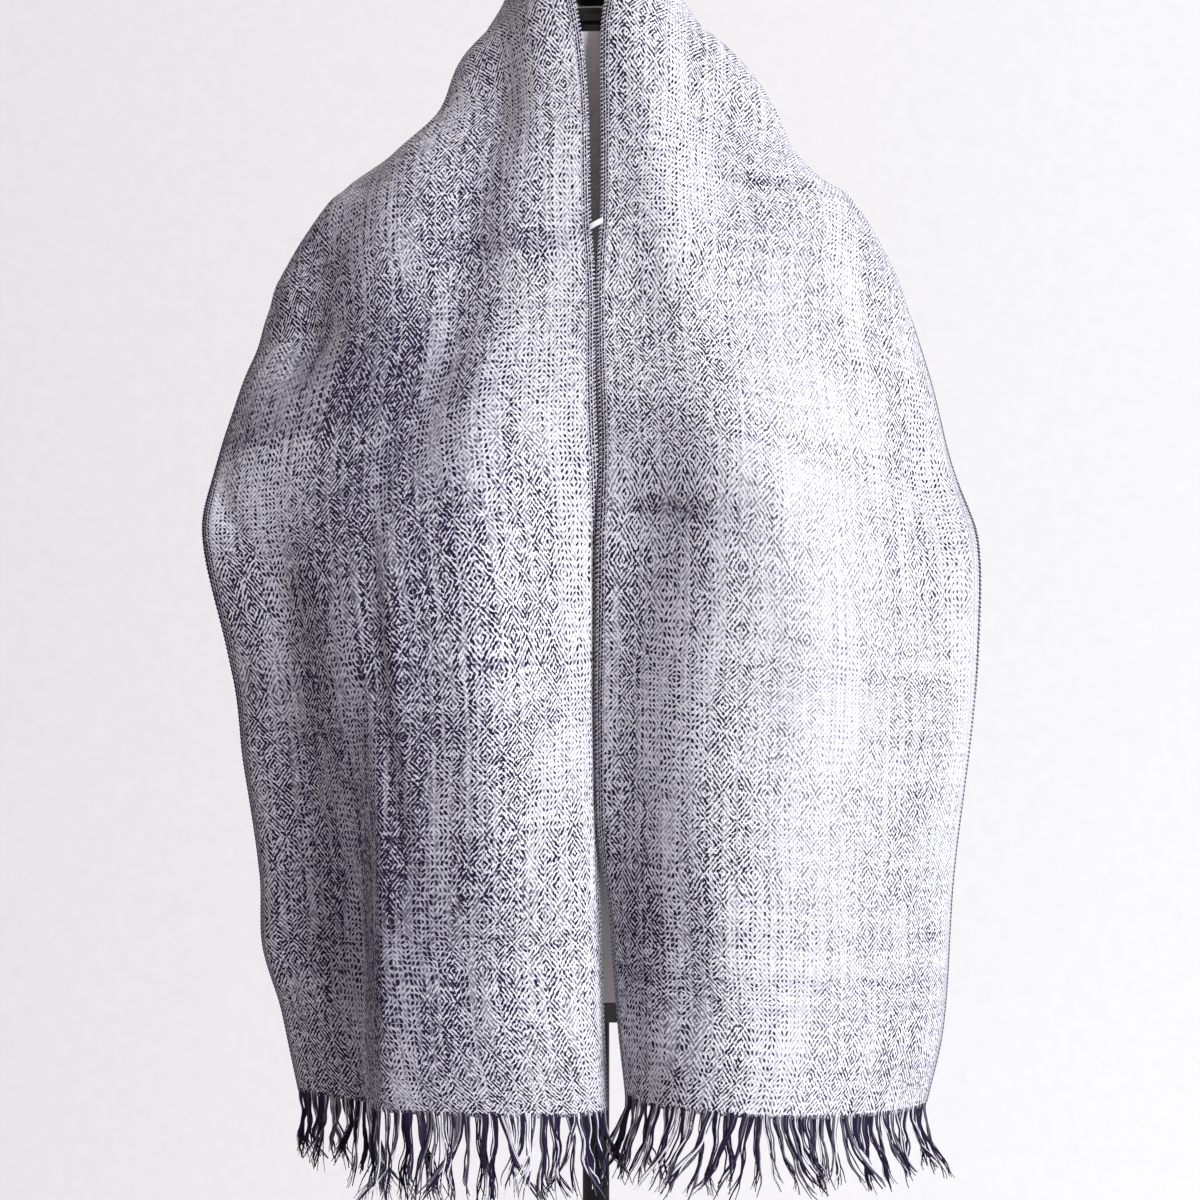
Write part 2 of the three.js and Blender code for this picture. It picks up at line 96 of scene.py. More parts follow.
class StudioSettings(bpy.types.PropertyGroup):
    distance: size_property("Camera distance", "Camera to the form's axis", 2.3)
    eye_height: size_property("Eye height", "Height of the level camera", 1.004)
    span: size_property("Frame width", "Width of the view at the form's axis", 0.9)
    sideways: size_property("Sideways", "How far right of the axis the view's middle is", 0.003)
    sun_strength: bpy.props.FloatProperty(
        name="Sun strength", description="Soft key light from the front right", default=4.6)
    sun_spread: bpy.props.FloatProperty(
        name="Sun spread", description="Softness of the key light", default=math.radians(20),
        subtype="ANGLE")
    sun_place: bpy.props.FloatVectorProperty(
        name="Sun place", description="Where the key light stands; it shines at the form's middle",
        subtype="XYZ", size=3, default=(1.9, -1.84, 2.41))
    sun_colour: colour_property("Sun colour", "Slightly cool key light", (0.95, 0.97, 1.0))
    # The left paper is greyer: a painted shade, darker on the side away from the key light.
    shaded_paper_left: colour_property("Paper, left", "Paper sweep on the left", (0.62, 0.598, 0.603))
    paper_right: colour_property("Paper, right", "Paper sweep on the right", (0.735, 0.73, 0.735))
    horizon: colour_property("Horizon", "Pale wall all round, low down", (0.78, 0.73, 0.71))
    overhead: colour_property("Overhead", "Dim ceiling", (0.11, 0.09, 0.083))


# ------------------------------------------------------------------ tables of the drape, in millimetres
def table(columns, rows):
    """Columns by name, each as one array down the rows."""
    return dict(zip(columns.split(), np.array(rows, float).T))


FORM = table("height side front back", [
    [716, 166, -108, 116],
    [790, 170, -110, 120],
    [850, 166, -106, 116],
    [910, 148, -99, 100],
    [975, 122, -92, 80],
    [1040, 132, -99, 82],
    [1100, 147, -113, 88],
    [1150, 157, -121, 94],
    [1200, 165, -110, 99],
    [1245, 175, -91, 99],
    [1272, 181, -79, 95],
    [1290, 180, -71, 89],
    [1303, 160, -66, 84],
    [1318, 124, -63, 78],
    [1334, 88, -60, 71],
    [1354, 67, -58, 64],
    [1385, 60, -57, 58],
    [1420, 58, -57, 56],
])
SQUARENESS = 2.3
FORM_BOTTOM, NECK_TOP = 702.0, 1420.0
CLEARANCE = 2.2
# Cloth is pushed clear of the form in this many goes, each no longer than this.
PUSHES, LONGEST_PUSH = 12, 12

# The neck stretch lies like half a cone laid flat: level is the distance from the cone's tip.
RINGS = table("level left right front back side_z front_z back_z", [
    [105, 50, 50, -53, 58, 1487, 1478, 1490],
    [150, 70, 68, -62, 66, 1452, 1446, 1452],
    [192, 97, 102, -68, 76, 1413, 1406, 1412],
    [247, 117, 130, -76, 90, 1368, 1352, 1360],
    [285, 153, 145, -84, 99, 1341, 1315, 1324],
    [322, 181, 168, -92, 105, 1319, 1281, 1288],
    [347, 198, 191, -98, 109, 1304, 1257, 1263],
    [414, 234, 224, -116, 116, 1248, 1193, 1197],
    [460, 249, 238, -126, 120, 1206, 1149, 1152],
    [509, 268, 252, -129, 122, 1160, 1101, 1104],
    [559, 279, 259, -129, 124, 1112, 1051, 1054],
    [590, 281, 263, -129, 124, 1081, 1020, 1023],
    [631, 281, 274, -129, 126, 1040, 979, 982],
    [760, 281, 278, -129, 126, 911, 850, 853],
])
# With that cone laid flat: how far the inner selvedge is from the middle of the front.
LAY = table("from_nape left right", [
    [0, 105, 105],
    [40, 99, 98],
    [80, 78, 76],
    [120, 49, 46],
    [160, 25, 18],
    [200, 14, 6],
    [240, 9, 4],
    [300, 6, 5],
    [358, 4.5, 4.5],
    [384, 2.2, 2.2],
    [420, 1, 1],
    [1000, 1, 1],
])
LAY_STEP, QUARTER_STEPS = 5.0, 64
# Between these levels a place on a ring goes over from a share of the ring to a distance along it.
FREE_FROM, FREE_TO = 380, 560

# Rows of weft on the hanging ends: where each begins and ends, the headings in degrees in which it
# leaves and arrives, and how much of it the soft folds take up.
ROW_COLUMNS = "along in_x in_y in_z out_x out_y out_z leave arrive taken"
LEFT_ROWS = table(ROW_COLUMNS, [
    [0, -12, -88, 636, 218, -83, 643, 78, -64, 12],
    [60, -9, -114, 697, 229, -88, 699, 66, -62, 10],
    [120, -7, -118, 757, 240, -90, 753, 59, -57, 8],
    [180, -5, -120, 818, 241, -90, 806, 52, -52, 6],
    [290, -3.5, -124, 930, 254, -92, 910, 44, -42, 4],
    [350, -3, -126, 991, 264, -95, 966, 36, -36, 2],
    [430, -2, -128, 1073, 281, -98, 1042, 24, -24, 0],
    [520, 1, -128, 1166, 282, -74, 1098, 22, -30, 0],
    [600, 2, -122, 1248, 266, -38, 1160, 20, -40, 0],
])
RIGHT_ROWS = table(ROW_COLUMNS, [
    [0, 22, -86, 646, 242, -44, 632, 80, -64, 14],
    [60, 16, -113, 704, 254, -52, 691, 70, -62, 12],
    [180, 8, -119, 819, 260, -68, 804, 55, -54, 6],
    [290, 5.5, -124, 930, 271, -84, 910, 46, -44, 4],
    [350, 5, -126, 991, 275, -92, 966, 36, -36, 2],
    [430, 4, -128, 1073, 275, -96, 1042, 26, -26, 0],
    [520, 3, -128, 1166, 262, -74, 1100, 22, -32, 0],
    [600, 2, -122, 1248, 252, -38, 1162, 20, -40, 0],
])
# The hanging part blends into the lying part between these distances from the hem.
HANG_FROM, HANG_TO = 440, 580
# A step backwards in each row near the left end's outer side, full up to one distance from the hem
# and gone at the other.
PLEAT = {"side": 160, "depth": 38, "run": 20, "full": 110, "gone": 360}

# Soft folds along the cloth. low, high: distance from the inner selvedge at the lower and upper end.
FOLD_COLUMNS = "low high start stop rise spread"
LEFT_FOLDS = table(FOLD_COLUMNS, [
    [96, 88, 100, 640, 8, 28],
    [126, 50, 480, 900, -8, 30],
    [84, 20, 560, 900, 4, 24],
    [196, 106, 520, 900, 3, 26],
    [240, 150, 540, 900, -4, 26],
    [252, 236, 530, 690, -7, 24],
    [240, 250, 30, 480, -8, 26],
    [295, 298, 60, 330, 6, 18],
    [2, 2, -200, 430, -4, 12],
])
RIGHT_FOLDS = table(FOLD_COLUMNS, [
    [86, 82, 60, 640, 4, 30],
    [82, 8, 500, 900, 9, 28],
    [140, 60, 500, 900, -5, 24],
    [222, 125, 520, 900, 5, 26],
    [262, 266, 280, 560, -6, 24],
    [0, 0, 130, 480, 7, 18],
])
BACK_FOLDS = table("along rise spread", [
    [1000, 10, 26],
    [950, -9, 24],
    [900, 10, 26],
    [850, -8, 24],
])

# Creases from folding and wear. across, along: a crease's middle, with along counted from the left
# hem. turn: degrees between the crease and the cloth's length. long, wide: its half sizes.
CREASES = table("across along turn long wide rise", [
    [158, 330, 2, 150, 7, 2.2],
    [171, 318, 2, 160, 8, -2.8],
    [70, 222, 88, 78, 5, -0.9],
    [236, 228, 94, 60, 6, 0.8],
    [40, 426, 92, 46, 5, -0.8],
    [128, 431, 86, 54, 6, -1.1],
    [255, 418, 97, 44, 5, -0.7],
    [240, 590, 80, 74, 20, -6.0],
    [262, 640, 58, 46, 9, 1.6],
    [288, 470, 20, 52, 9, -2.2],
    [96, 672, 84, 58, 6, 0.9],
    [206, 716, 64, 50, 8, -1.6],
    [30, 140, 10, 70, 9, 1.2],
    [112, 92, -8, 62, 11, -1.8],
    [226, 84, 6, 66, 10, 2.0],
    [286, 96, -5, 58, 8, -1.6],
    [62, 1776, 91, 66, 5, -0.8],
    [214, 1781, 86, 80, 6, -1.0],
    [34, 1572, 95, 40, 5, -1.2],
    [122, 1577, 88, 62, 5, 0.9],
    [262, 1566, 80, 42, 6, -1.3],
    [276, 1512, 24, 58, 9, -2.4],
    [244, 1440, -62, 50, 8, 1.7],
    [212, 1402, -56, 44, 7, -1.9],
    [150, 1322, -84, 52, 6, -0.9],
    [72, 1900, -7, 74, 12, -2.0],
    [176, 1914, 5, 62, 11, 1.7],
    [264, 1892, -9, 70, 10, -1.9],
    [150, 1690, 3, 110, 14, 1.5],
    [232, 1660, -4, 90, 12, -1.6],
    [60, 1010, 84, 44, 8, -1.4],
    [148, 976, 95, 60, 9, 1.9],
    [210, 1034, 78, 56, 8, -2.1],
    [262, 968, 102, 46, 9, 1.6],
    [236, 880, 66, 52, 8, -1.8],
    [248, 1122, -60, 48, 8, 1.5],
    [120, 862, 58, 50, 9, -1.5],
    [132, 1146, -64, 54, 9, -1.6],
])
# Stretches where more of the dark warp shows, or less of it (change below 0): partly the weave's own darker
# and lighter zones, partly painted shade and painted light.
# wide, long: half sizes across and along the cloth.
STRETCHES = table("across along wide long change", [
    [36, 330, 42, 420, -0.10],
    [165, 330, 70, 360, 0.44],
    [262, 300, 62, 400, 0.28],
    [190, 110, 90, 130, 0.26],
    [120, 495, 62, 80, 0.32],
    [140, 120, 50, 80, 0.16],
    [230, 548, 80, 24, 0.32],
    [250, 522, 60, 6, 0.46],
    [200, 500, 70, 14, -0.10],
    [60, 630, 60, 6, 0.44],
    [80, 700, 34, 110, 0.24],
    [215, 690, 70, 90, 0.20],
    [30, 690, 40, 110, 0.10],
    [120, 1000, 120, 90, 0.05],
    [190, 1340, 70, 90, 0.05],
    [150, 1312, 50, 6, 0.44],
    [60, 1574, 60, 7, 0.50],
    [44, 1700, 50, 200, 0.26],
    [48, 1900, 60, 100, 0.36],
    [20, 1560, 22, 60, -0.24],
    [172, 1620, 84, 430, -0.48],
    [300, 1700, 34, 330, -0.34],
    [262, 1530, 34, 60, 0.24],
])
USUAL_COVER = 0.5

# How the fringe hangs along each hem: lean is the sideways swing and push the swing to the front, as
# shares of the length. reach is each stretch's share of the fringe's usual length.
LOCK_COLUMNS = "across lean push reach"
LEFT_LOCKS = table(LOCK_COLUMNS, [
    [0, 0.2, 0.1, 0.8],
    [50, 0.1, 0.1, 1.0],
    [120, -0.08, 0.08, 1.15],
    [185, 0.04, 0.05, 1.2],
    [250, -0.12, 0.0, 0.95],
    [305, 0.1, 0.0, 0.8],
])
RIGHT_LOCKS = table(LOCK_COLUMNS, [
    [0, -0.1, 0.1, 0.9],
    [50, -0.3, 0.12, 1.0],
    [105, -0.2, 0.1, 1.05],
    [160, 0.3, 0.08, 0.95],
    [215, 0.25, 0.03, 0.9],
    [305, 0.3, 0.0, 0.9],
])
DARK_YARN, GREYED_YARN, LIGHT_YARN, WHITE_THREAD = 0.0, 0.12, 0.85, 1.0

# What bunches and yarns draw their values from. OPENS: how far a bunch spreads at its tips.
YARNS_A_BUNCH = (4, 5, 6, 7, 8)
BUNCH_OPENS = (0.3, 0.5, 0.7, 1.1, 1.6)
YARN_TINTS = (DARK_YARN, DARK_YARN, DARK_YARN, LIGHT_YARN, GREYED_YARN)
YARN_RADII = (0.5, 0.6, 0.72, 0.88)
YARN_POINTS = 15
# Yarns leave the hem over this share of their bunch's gap, from this deep in the cloth.
ROOT_SPREAD, ROOT_DEPTH = 0.95, 3.2

# The two lower bends of a yarn: how far down it each is, and its shares of the bunch's spread, lean,
# curl, push and depth. stray: how much the yarns differ.
LOWER_BENDS = table("down open lean curl stray push deep", [
    [0.60, 0.35, 0.40, 0, 0.020, 0.5, 1.0],
    [1.00, 1.00, 1.00, 1, 0.045, 0.8, 1.4],
])

# Along each selvedge the weft winds round a thick border end, in millimetres. cord, weft: radii.
# reach: half the width of the weft's turns.
EDGES = {
    "inner_selvedge": {"cord": 0.55, "weft": 0.42, "reach": 1.20, "tint": LIGHT_YARN},
    "outer_selvedge": {"cord": 1.10, "weft": 0.50, "reach": 1.35, "tint": DARK_YARN},
}
EDGE_INSET, EDGE_LIFT, CORD_POINTS = 0.45, 0.85, 660
PICKS_A_TURN, POINTS_A_TURN = 3, 8

# The stitch at the throat. low, high: where each turn of thread pierces the two ends. proud: how far
# it stands out. All in millimetres.
STITCH_FROM_HEM, STITCH_INSET, THREAD_RADIUS = 639, 1.3, 0.85
STITCH_TURNS = (
    {"low": -1.7, "high": -1.5, "proud": 2.0},
    {"low": -1.0, "high": -0.8, "proud": 2.6},
    {"low": -0.2, "high": 0.1, "proud": 2.9},
    {"low": 0.6, "high": 0.9, "proud": 2.7},
    {"low": 1.4, "high": 1.6, "proud": 2.1},
)

# Edges of the form's solids that turn less than this are shaded smooth.
TRUE_EDGE = math.radians(35)

# The paper, in metres: half the floor's size, how far back the wall stands, and its rise.
FLOOR_REACH, WALL_BACK, WALL_RISE = 20, 1.6, (0, 0.6, 4)


# ------------------------------------------------------------------ the drape, worked out on whole arrays
def read(columns, key, name, at):
    """One column at any places along its key, on a smooth curve through the rows."""
    x, y = columns[key], columns[name]
    at = np.clip(at, x[0], x[-1])
    i = np.clip(np.searchsorted(x, at, side="left") - 1, 0, len(x) - 2)
    below, above = np.maximum(np.arange(len(x)) - 1, 0), np.minimum(np.arange(len(x)) + 1, len(x) - 1)
    slope = (y[above] - y[below]) / (x[above] - x[below])
    step = x[i + 1] - x[i]
    t = (at - x[i]) / step
    start = y[i] * (1 + 2 * t) * (1 - t) ** 2 + slope[i] * step * t * (1 - t) ** 2
    return start + y[i + 1] * t * t * (3 - 2 * t) + slope[i + 1] * step * t * t * (t - 1)


def ease(t):
    t = np.clip(t, 0, 1)
    return t * t * (3 - 2 * t)


def unit(v):
    return v / np.maximum(np.linalg.norm(v, axis=-1, keepdims=True), 1e-9)


def form_level(points):
    """0 on the form's surface, negative inside, positive outside."""
    height = np.clip(points[..., 2], FORM["height"][0], NECK_TOP)
    side, front, back = (read(FORM, "height", name, height) for name in ("side", "front", "back"))
    across = np.abs(points[..., 0] / side) ** SQUARENESS
    deep = np.abs((points[..., 1] - (front + back) / 2) / ((back - front) / 2)) ** SQUARENESS
    return (across + deep) ** (1 / SQUARENESS) - 1


def clear_of_form(points, clearance=CLEARANCE):
    """Moves points of cloth straight out of the form until they have their clearance."""
    near = (points[..., 2] < NECK_TOP + clearance) & (points[..., 2] > FORM_BOTTOM - clearance)
    moved = points[near]
    for _ in range(PUSHES):
        level = form_level(moved)
        slope = np.stack([(form_level(moved + nudge) - level) / 0.5 for nudge in np.eye(3) * 0.5], axis=-1)
        steep = np.linalg.norm(slope, axis=-1)
        short = np.clip(clearance - level / steep, 0, LONGEST_PUSH)
        moved = moved + unit(slope) * short[:, None]
    points = points.copy()
    points[near] = moved
    return points


def cubic(a, b, c, d, t):
    """Points on a cubic curve from a to d with its handles at b and c."""
    return a * (1 - t) ** 3 + 3 * b * t * (1 - t) ** 2 + 3 * c * t * t * (1 - t) + d * t**3


def walked(steps):
    """Distance walked at each point of many paths, from the lengths of their steps."""
    return np.pad(np.cumsum(steps, axis=1), ((0, 0), (1, 0)))


def lying(across, from_nape, end):
    """Points of cloth that lie on the shoulders, each on its ring."""
    side = -1 if end == "left" else 1
    steps = np.arange(0, 1001, LAY_STEP)
    sideways = np.diff(read(LAY, "from_nape", end, steps))
    reach = np.pad(np.cumsum(np.sqrt(np.maximum(LAY_STEP**2 - sideways**2, 0))), (1, 0))
    out = across + read(LAY, "from_nape", end, from_nape)
    down = np.interp(from_nape, steps, reach)
    level = np.hypot(out, down)
    ring = {name: read(RINGS, "level", name, level) for name in RINGS}
    width = ring[end]
    turns = np.linspace(0, math.pi / 2, QUARTER_STEPS + 1)
    x = width[:, None] * np.sin(turns)
    front, back = (walked(np.hypot(np.diff(x), np.diff(depth[:, None] * np.cos(turns))))
                   for depth in (ring["front"], ring["back"]))
    front_length, whole = front[:, -1], front[:, -1] + back[:, -1]
    share = 1 - np.arctan2(down, out) / (math.pi / 2)
    free = ease((level - FREE_FROM) / (FREE_TO - FREE_FROM))
    distance = whole * share * (1 - free) + out * free
    past = distance > front_length
    remaining = np.where(past, np.maximum(whole - distance, 0), distance)
    lengths = np.where(past[:, None], back, front)
    i = np.clip((lengths < remaining[:, None]).sum(axis=1) - 1, 0, QUARTER_STEPS - 1)
    rows = np.arange(len(i))
    begin, finish = lengths[rows, i], lengths[rows, i + 1]
    turn = turns[i] + turns[1] * (remaining - begin) / (finish - begin)
    x = width * np.sin(turn)
    y = np.where(past, ring["back"], ring["front"]) * np.cos(turn)
    far = np.where(past, ring["back_z"], ring["front_z"])
    z = far + (ring["side_z"] - far) * np.sin(turn) ** 2
    return np.stack([side * x, y, z], axis=-1)


def hanging(across, from_hem, end, width):
    """Points of cloth on the hanging ends. Each row of weft is a cubic curve as long as the cloth is wide."""
    side = -1 if end == "left" else 1
    rows = LEFT_ROWS if end == "left" else RIGHT_ROWS
    levels, which = np.unique(np.round(from_hem, 3), return_inverse=True)
    at = {name: read(rows, "along", name, levels) for name in rows}
    inner = np.stack([side * at["in_x"], at["in_y"], at["in_z"]], axis=-1)
    outer = np.stack([side * at["out_x"], at["out_y"], at["out_z"]], axis=-1)

    def heading(degrees):
        turn = np.radians(degrees)
        return np.stack([side * np.cos(turn), -np.sin(turn), 0 * turn], axis=-1)

    t = np.linspace(0, 1, 121)[None, :, None]
    pleat = 1 - ease((levels - PLEAT["full"]) / (PLEAT["gone"] - PLEAT["full"]))
    pleat = pleat * (PLEAT["depth"] if end == "left" else 0)

    def curve(handle):
        a, d = inner[:, None], outer[:, None]
        b = a + (heading(at["leave"]) * handle[:, None])[:, None]
        c = d - (heading(at["arrive"]) * handle[:, None])[:, None]
        made = cubic(a, b, c, d, t)
        step = ease((np.abs(made[..., 0]) - PLEAT["side"]) / PLEAT["run"] + 0.5)
        made[..., 1] += pleat[:, None] * step
        return made

    def steps(points):
        return np.linalg.norm(np.diff(points, axis=1), axis=-1)

    # The handles are halved in on until each row is as long as the cloth is wide, less its folds.
    short, long = np.full(len(levels), 20.0), np.full(len(levels), float(width))
    for _ in range(14):
        middle = (short + long) / 2
        over = steps(curve(middle)).sum(axis=1) > width - at["taken"]
        long, short = np.where(over, middle, long), np.where(over, short, middle)
    points = curve(short)
    lengths = walked(steps(points))
    made = np.empty((len(across), 3))
    for row, (path, length) in enumerate(zip(points, lengths)):
        mine = which == row
        place = across[mine] / width * length[-1]
        for axis in range(3):
            made[mine, axis] = np.interp(place, length, path[:, axis])
    return made


def fold_rise(across, from_hem, end, width):
    rise = np.zeros_like(across)
    folds = LEFT_FOLDS if end == "left" else RIGHT_FOLDS
    for low, high, start, stop, height, spread in zip(*folds.values()):
        t = (from_hem - start) / (stop - start)
        centre = low + (high - low) * t
        live = np.where((t > 0) & (t < 1), np.minimum(ease(t * 4), ease((1 - t) * 4)), 0)
        rise += height * live * np.exp(-(((across - centre) / spread) ** 2))
    for along, height, spread in zip(*BACK_FOLDS.values()):
        rise += height * ease(across / width) * np.exp(-(((from_hem - along) / spread) ** 2))
    return rise


def plain_cloth(across, along, length, width):
    """Where the unfolded cloth lies, for arrays of places on it, in millimetres."""
    points = np.empty((len(across), 3))
    half = length / 2
    for end in ("left", "right"):
        mine = along <= half if end == "left" else along > half
        u = np.clip(across[mine], 0, width)
        from_hem = along[mine] if end == "left" else length - along[mine]
        lies = ease((from_hem - HANG_FROM) / (HANG_TO - HANG_FROM))[:, None]
        hung = hanging(u, np.minimum(from_hem, HANG_TO), end, width)
        points[mine] = hung * (1 - lies) + lying(u, half - from_hem, end) * lies
    return points


class Drape:
    """The whole scarf as a fine net of points, from which any place on it can be read."""

    def __init__(self, width, length, across_step=3.0, along_step=4.0):
        self.width, self.length = width, length
        self.us = np.linspace(0, width, int(width / across_step) + 1)
        self.vs = np.linspace(0, length, int(length / along_step) + 1)
        u, v = np.meshgrid(self.us, self.vs)
        flat_u, flat_v = u.ravel(), v.ravel()
        points = plain_cloth(flat_u, flat_v, length, width).reshape(*u.shape, 3)
        left = flat_v <= length / 2
        from_hem = np.where(left, flat_v, length - flat_v)
        folds = (fold_rise(flat_u, from_hem, end, width) for end in ("left", "right"))
        rise = np.where(left, *folds).reshape(u.shape) + self.creases(u, v)
        self.points = clear_of_form(points + self.facing(points) * rise[..., None])
        self.out = self.facing(self.points)

    def facing(self, points):
        along = np.gradient(points, axis=0)
        across = np.gradient(points, axis=1)
        return unit(np.cross(along, across))

    def creases(self, u, v):
        rise = np.zeros_like(u)
        for across, along, turn, long, wide, height in zip(*CREASES.values()):
            angle = math.radians(turn)
            down_it = (v - along) * math.cos(angle) + (u - across) * math.sin(angle)
            beside = (u - across) * math.cos(angle) - (v - along) * math.sin(angle)
            beside += 0.12 * down_it**2 / long
            rise += height * ease(1.25 - np.abs(down_it) / long) * np.exp(-((beside / wide) ** 2))
        return rise

    def at(self, across, along, proud=0.0, past_edge=False):
        """Points of the cloth's middle surface, or proud of it, for any arrays of places.

        past_edge lets places lie a little outside the selvedges, straight on from the cloth.
        """
        i = np.clip(np.asarray(along, float) / self.length, 0, 1) * (len(self.vs) - 1)
        j = np.asarray(across, float) / self.width
        j = (j if past_edge else np.clip(j, 0, 1)) * (len(self.us) - 1)
        i0 = np.clip(i.astype(int), 0, len(self.vs) - 2)
        j0 = np.clip(j.astype(int), 0, len(self.us) - 2)
        s, t = (i - i0)[..., None], (j - j0)[..., None]

        def blend(field):
            low = field[i0, j0] * (1 - t) + field[i0, j0 + 1] * t
            high = field[i0 + 1, j0] * (1 - t) + field[i0 + 1, j0 + 1] * t
            return low * (1 - s) + high * s

        return blend(self.points) + unit(blend(self.out)) * np.asarray(proud)[..., None]


def dark_cover(across, along):
    """How much of the dark warp shows at places on the cloth, from none at 0 to much at 1 and over; its
    stretches are partly the weave's own zones and partly painted shade and painted light.
    """
    cover = np.full_like(across, USUAL_COVER)
    for middle, level, wide, long, change in zip(*STRETCHES.values()):
        cover += change * np.exp(-(((across - middle) / wide) ** 2) - ((along - level) / long) ** 2)
    return np.clip(cover, 0, 1.15)


DRAPE = {}


def drape_of(scarf):
    """The drape for the scarf's own width and length, worked out once."""
    key = (round(scarf.width / MM, 3), round(scarf.length / MM, 3))
    if key not in DRAPE:
        DRAPE[key] = Drape(*key)
    return DRAPE[key]


# ------------------------------------------------------------------ node tools
def plug(tree, made, inputs):
    """Links or sets inputs of a node, by name or by number."""
    for socket, value in inputs.items():
        if isinstance(value, bpy.types.NodeSocket):
            tree.links.new(value, made.inputs[socket])
        else:
            made.inputs[socket].default_value = value


def node(tree, kind, inputs=None, **settings):
    made = tree.nodes.new(kind)
    for name, value in settings.items():
        setattr(made, name, value)
    plug(tree, made, inputs or {})
    return made


def maths(tree, operation, *values):
    return node(tree, "ShaderNodeMath", dict(enumerate(values)), operation=operation).outputs[0]


def noise(tree, place, scale, detail, dimensions="3D"):
    """Noise from 0 to 1 on a place in space or on the flat, or in 1D on a single value."""
    socket = "W" if dimensions == "1D" else "Vector"
    return node(tree, "ShaderNodeTexNoise", {socket: place, "Scale": scale, "Detail": detail},
                noise_dimensions=dimensions).outputs["Fac"]


def bands(tree, place, axis, scale, distortion, detail=2.0):
    """Soft bands, one after the other along an axis."""
    return node(tree, "ShaderNodeTexWave", {"Vector": place, "Scale": scale, "Distortion": distortion,
                                            "Detail": detail}, bands_direction=axis).outputs["Fac"]


def ramp(tree, value, start, stop, first, last, curve="LINEAR"):
    """Goes from first to last as the value goes from start to stop, and is held there outside."""
    return node(tree, "ShaderNodeMapRange", {0: value, 1: start, 2: stop, 3: first, 4: last},
                interpolation_type=curve).outputs[0]


def bump(tree, height, strength, distance):
    return node(tree, "ShaderNodeBump", {"Height": height, "Strength": strength,
                                         "Distance": distance}).outputs[0]


def mix_colour(tree, share, first, second, blend="MIX"):
    """Mixes two colours. Each is a socket, or red, green and blue."""
    first, second = (value if isinstance(value, bpy.types.NodeSocket) else (*value, 1)
                     for value in (first, second))
    made = node(tree, "ShaderNodeMix", {0: share, 6: first, 7: second}, data_type="RGBA", blend_type=blend)
    return made.outputs[2]


def new_material(name):
    """A material, its node tree and the shader in it."""
    material = bpy.data.materials.new(name)
    material.use_nodes = True
    tree = material.node_tree
    return material, tree, next(n for n in tree.nodes if n.type == "BSDF_PRINCIPLED")


def group_of(name, inputs, outputs):
    """An empty shader node group with named sockets, what it is given and its output node.

    An input without a default is a place; every other socket is a number.
    """
    made = bpy.data.node_groups.new(name, "ShaderNodeTree")
    for socket, default in inputs.items():
        kind = "NodeSocketVector" if default is None else "NodeSocketFloat"
        item = made.interface.new_socket(socket, in_out="INPUT", socket_type=kind)
        if default is not None:
            item.default_value = default
    for socket in outputs:
        made.interface.new_socket(socket, in_out="OUTPUT", socket_type="NodeSocketFloat")
    return made, made.nodes.new("NodeGroupInput").outputs, made.nodes.new("NodeGroupOutput")


GROUPS = {}


def use_group(tree, maker, **inputs):
    """Places a shader node group in a tree. The group is made the first time that it is used."""
    if maker not in GROUPS:
        GROUPS[maker] = maker()
    made = tree.nodes.new("ShaderNodeGroup")
    made.node_tree = GROUPS[maker]
    plug(tree, made, {name.replace("_", " "): value for name, value in inputs.items()})
    return made.outputs


# ------------------------------------------------------------------ effects shared by materials
DASH_STEP = 4.0  # ends, and picks, from one dark dash to the next


